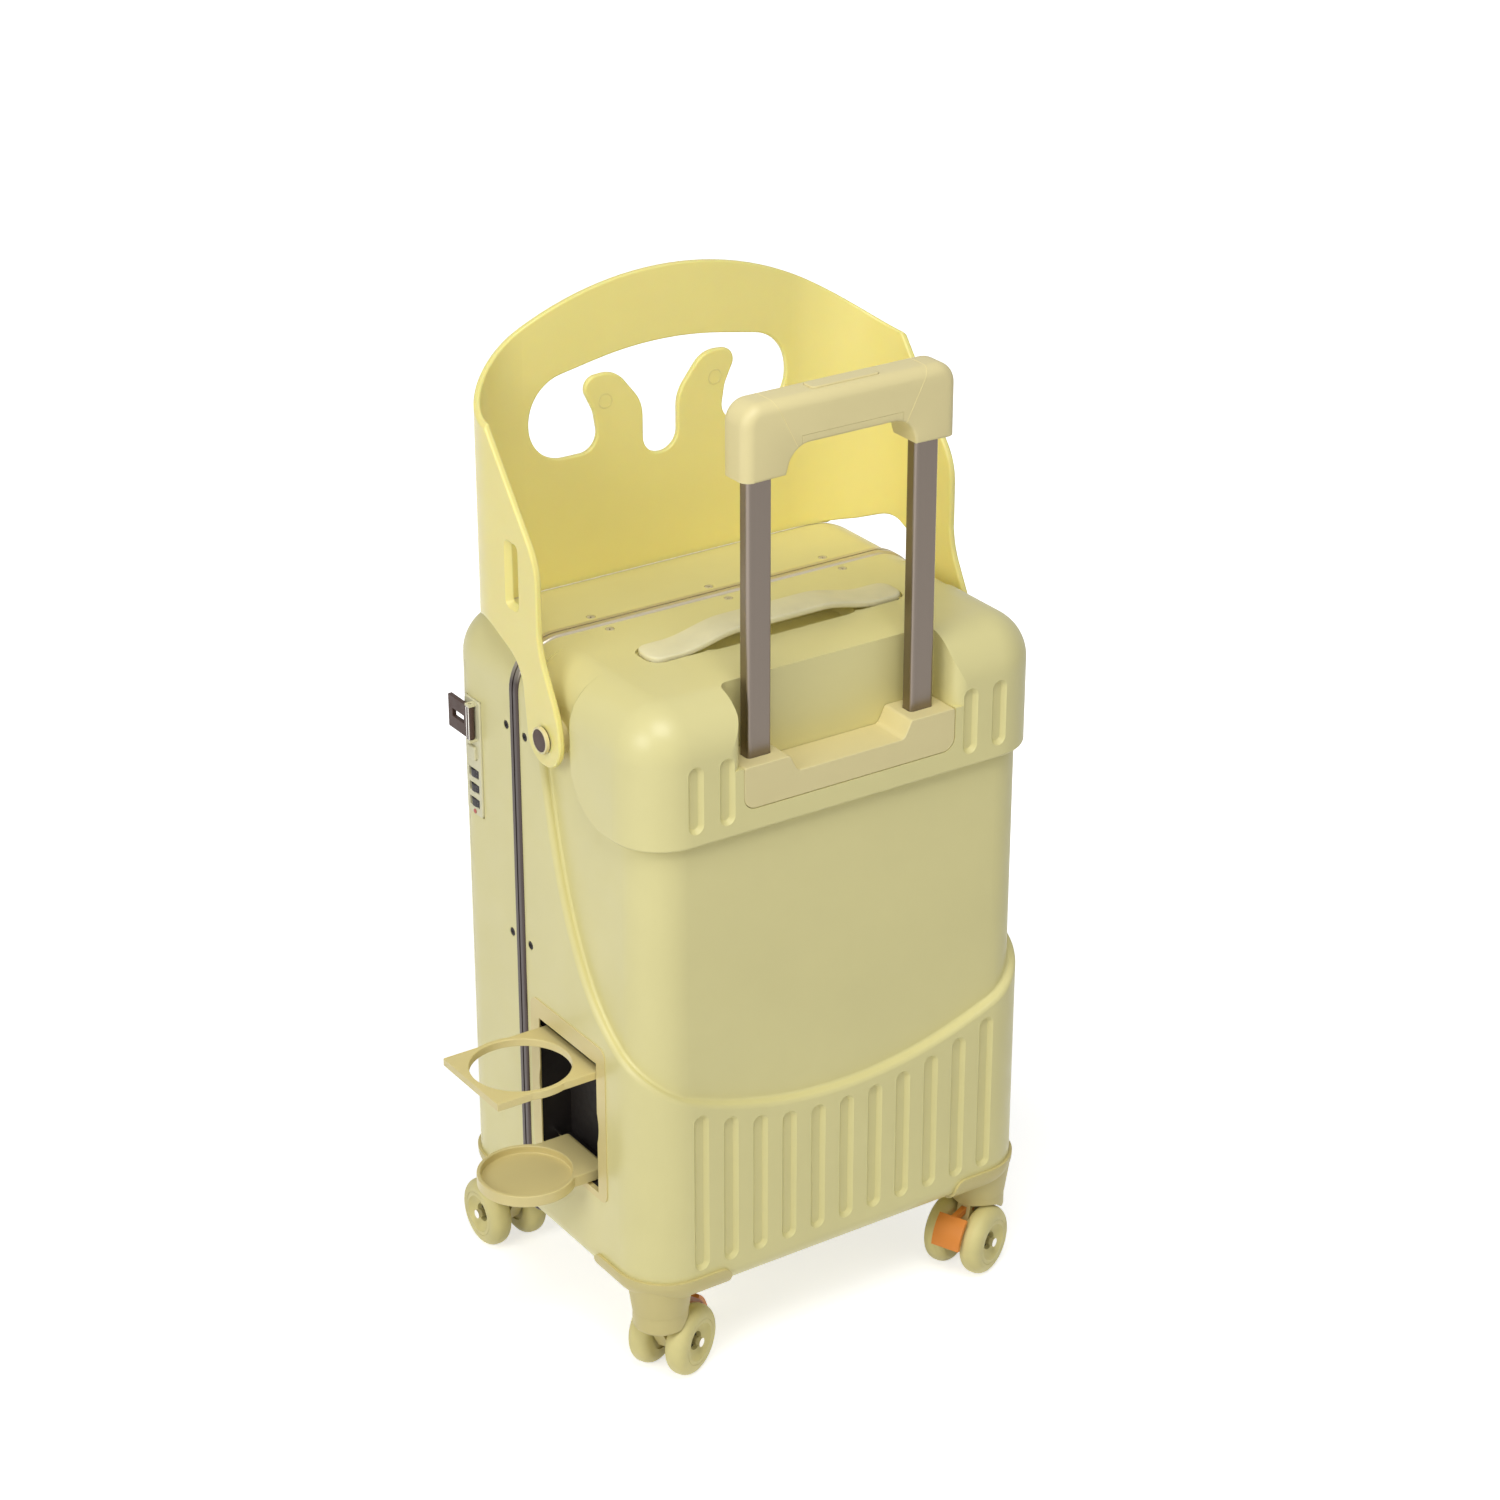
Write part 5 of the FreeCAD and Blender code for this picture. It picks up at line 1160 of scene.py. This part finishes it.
def model_axle_cap(radius):
    """Domed axle end with a small centre dimple, its top at z = 0."""
    cap = open_disc(48, radius, radius, radius * AXLE_EDGE, 6)
    bpy.ops.mesh.inset(thickness=radius * AXLE_RIM)
    push(radius * AXLE_DIMPLE)
    close_mesh()
    shade(cap, 32)
    return cap


def wheel_reach(name):
    """Nearest and farthest distance of a caster's wheels from its middle, along the axle."""
    centre, axis = joint("wheel_spin_" + name)
    mesh = frame["nodes"]["caster_wheels_" + name].data
    reach = [abs((vertex.co - centre).dot(axis)) for vertex in mesh.vertices]
    return min(reach), max(reach)


class RIDECASE_OT_casters(bpy.types.Operator):
    """Finish the corner guards and forks and model the wheels"""

    bl_idname = "ridecase.casters"
    bl_label = "Casters"

    def execute(self, context):
        colours, sizes = palette(), lengths()
        rubber = rubbery("Wheel rubber", colours.wheel, 0.50)
        # The bore takes a much darker copy of the wheel colour: painted shade in the bore.
        bore = rubbery("Hub bore", toned(colours.wheel, 0.10), 0.7)
        pedal = moulded("Pedal plastic", colours.pedal, grain=0.12, depth=0.03)
        for name in CASTERS:
            dress(fork_finish(), "corner_guard_" + name, "caster_fork_" + name)
            dress(steel_finish(), "caster_axle_" + name)
            if name.startswith("near"):
                dress(pedal, "brake_pedal_" + name)
            centre, axis = joint("wheel_spin_" + name)
            low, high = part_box("caster_wheels_" + name)
            near, far = wheel_reach(name)
            width = far - near
            dish = far - sizes.hub_depth
            shaded = width / 2 - sizes.hub_depth - sizes.bore_shade
            wheels, caps = [], []
            for out in (-axis, axis):
                wheel = model_wheel((high.z - low.z) / 2, width)
                wheel.data.materials.append(rubber)
                wheel.data.materials.append(bore)
                # Faces of the bore deeper than the dish get that dark copy as painted shade.
                paint_faces(wheel, 1, lambda at, normal: 0 < at.z < shaded and at.xy.length < sizes.hub_bore)
                settle(wheel, facing(centre + out * (near + width / 2), out))
                wheels.append(wheel)
                cap = model_axle_cap(sizes.axle_radius)
                settle(cap, facing(centre + out * (dish - sizes.axle_sink + sizes.axle_radius), out))
                caps.append(cap)
            pair = unite("rolling_wheels_" + name, wheels)
            rest_on(pair, "wheels_" + name, "wheel")
            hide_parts("caster_wheels_" + name)
            ends = unite("axle_ends_" + name, caps)
            rest_on(ends, "caster_" + name, "steel", steel_finish())
        return {"FINISHED"}


def studio_surface(name, colour, glow, near, far):
    """Matt studio paper that fades to plain white away from the middle for the camera, and that glows in
    reflections, brighter towards the back left than the front right: a painted reflection.
    """
    finish = Finish(name)
    reach = finish.nodes.new("ShaderNodeVectorMath")
    reach.operation = "LENGTH"
    finish.links.new(finish.place, reach.inputs[0])
    fade = finish.spread(reach.outputs["Value"], glow, 1.0, near, far)
    finish.feed("Base Color", finish.tones(finish.noise(3.0), colour, 0.006))
    finish.value(roughness=0.9, specular_ior_level=0.1)
    split = finish.nodes.new("ShaderNodeSeparateXYZ")
    finish.links.new(finish.place, split.inputs["Vector"])
    # Glow seen only in reflections, rising from front right to back left: painted reflection on the case.
    across = finish.maths("SUBTRACT", split.outputs["Y"], split.outputs["X"])
    sheen = finish.spread(across, low=0.45, high=1.0, start=-1.0, end=0.6)
    rays = finish.nodes.new("ShaderNodeLightPath")
    seen = finish.maths("MULTIPLY", rays.outputs["Is Camera Ray"], fade)
    mirrored = finish.maths("MULTIPLY", rays.outputs["Is Glossy Ray"], sheen)
    level = finish.maths("MAXIMUM", seen, mirrored)
    finish.shader.inputs["Emission Color"].default_value = (1, 1, 1, 1)
    finish.feed("Emission Strength", level)
    return finish.material


def soft_lamp(name, place, target, size, power):
    """Square soft light that looks at a target."""
    data = bpy.data.lights.new(name, "AREA")
    data.shape = "SQUARE"
    data.size = size
    data.energy = power
    lamp = bpy.data.objects.new(name, data)
    lamp.location = place
    lamp.rotation_euler = (Vector(target) - Vector(place)).to_track_quat("-Z", "Y").to_euler()
    bpy.context.scene.collection.objects.link(lamp)


def light_room(scene, studio):
    """White room to the camera and in reflections that lights the case softly from all round."""
    scene.world = scene.world or bpy.data.worlds.new("Studio")
    scene.world.use_nodes = True
    nodes, links = scene.world.node_tree.nodes, scene.world.node_tree.links
    background = next(node for node in nodes if node.type == "BACKGROUND")
    background.inputs["Color"].default_value = (1, 1, 1, 1)
    rays = nodes.new("ShaderNodeLightPath")
    mirrored, seen, level = [nodes.new("ShaderNodeMath") for _ in range(3)]
    mirrored.operation = "MULTIPLY"
    mirrored.inputs[1].default_value = studio.room_mirror
    links.new(rays.outputs["Is Glossy Ray"], mirrored.inputs[0])
    seen.operation = "MAXIMUM"
    links.new(rays.outputs["Is Camera Ray"], seen.inputs[0])
    links.new(mirrored.outputs[0], seen.inputs[1])
    level.operation = "MAXIMUM"
    level.inputs[1].default_value = studio.room_light
    links.new(seen.outputs[0], level.inputs[0])
    links.new(level.outputs[0], background.inputs["Strength"])


class RIDECASE_OT_stage(bpy.types.Operator):
    """Set up the floor, the soft lights and the camera"""

    bl_idname = "ridecase.stage"
    bl_label = "Studio"

    def execute(self, context):
        scene = context.scene
        studio, colours = scene.ride_case_studio, palette()
        clear_selection()
        bpy.ops.mesh.primitive_plane_add(size=studio.floor_size, location=(0, 0, 0))
        floor = bpy.context.object
        floor.name = "studio_floor"
        floor.data.materials.append(studio_surface("Studio paper", colours.floor, studio.floor_glow,
                                                 studio.floor_near, studio.floor_far))
        soft_lamp("Key light", studio.key_place, studio.aim, studio.key_size, studio.key_power)
        soft_lamp("Fill light", studio.fill_place, studio.aim, studio.fill_size, studio.fill_power)
        soft_lamp("Top light", studio.top_place, studio.aim, studio.top_size, studio.top_power)
        light_room(scene, studio)
        data = bpy.data.cameras.new("Photograph view")
        data.lens = studio.camera_lens
        data.sensor_width = 36
        data.clip_end = 60
        camera = bpy.data.objects.new("Photograph view", data)
        camera.location = studio.camera_place
        camera.rotation_euler = studio.camera_turn
        scene.collection.objects.link(camera)
        scene.camera = camera
        scene.view_settings.view_transform = "Standard"
        return {"FINISHED"}


class RIDECASE_PT_panel(bpy.types.Panel):
    """Operators and values of the suitcase"""

    bl_idname = "RIDECASE_PT_panel"
    bl_label = "Ride-on suitcase"
    bl_space_type = "VIEW_3D"
    bl_region_type = "UI"
    bl_category = "Ride-on suitcase"

    def draw(self, context):
        layout = self.layout
        for operator in PIECES:
            layout.operator(operator.bl_idname)
        scene = context.scene
        for group in (scene.ride_case_colours, scene.ride_case_sizes, scene.ride_case_studio):
            box = layout.box()
            for name in group.__annotations__:
                box.prop(group, name)


PIECES = (RIDECASE_OT_shells, RIDECASE_OT_frame, RIDECASE_OT_hinges, RIDECASE_OT_trolley, RIDECASE_OT_strap,
          RIDECASE_OT_guard, RIDECASE_OT_cup_holder, RIDECASE_OT_lock, RIDECASE_OT_casters, RIDECASE_OT_stage)
GROUPS = (RideCaseColours, RideCaseSizes, RideCaseStudio)


def register():
    for item in GROUPS + PIECES + (RIDECASE_PT_panel,):
        bpy.utils.register_class(item)
    bpy.types.Scene.ride_case_colours = PointerProperty(type=RideCaseColours)
    bpy.types.Scene.ride_case_sizes = PointerProperty(type=RideCaseSizes)
    bpy.types.Scene.ride_case_studio = PointerProperty(type=RideCaseStudio)


def unregister():
    del bpy.types.Scene.ride_case_colours
    del bpy.types.Scene.ride_case_sizes
    del bpy.types.Scene.ride_case_studio
    for item in reversed(GROUPS + PIECES + (RIDECASE_PT_panel,)):
        bpy.utils.unregister_class(item)


def main():
    register()
    bpy.ops.ridecase.shells()
    bpy.ops.ridecase.frame()
    bpy.ops.ridecase.hinges()
    bpy.ops.ridecase.trolley()
    bpy.ops.ridecase.strap()
    bpy.ops.ridecase.guard()
    bpy.ops.ridecase.cup_holder()
    bpy.ops.ridecase.lock()
    bpy.ops.ridecase.casters()
    bpy.ops.ridecase.stage()
    clear_selection()


if __name__ == "__main__":
    main()
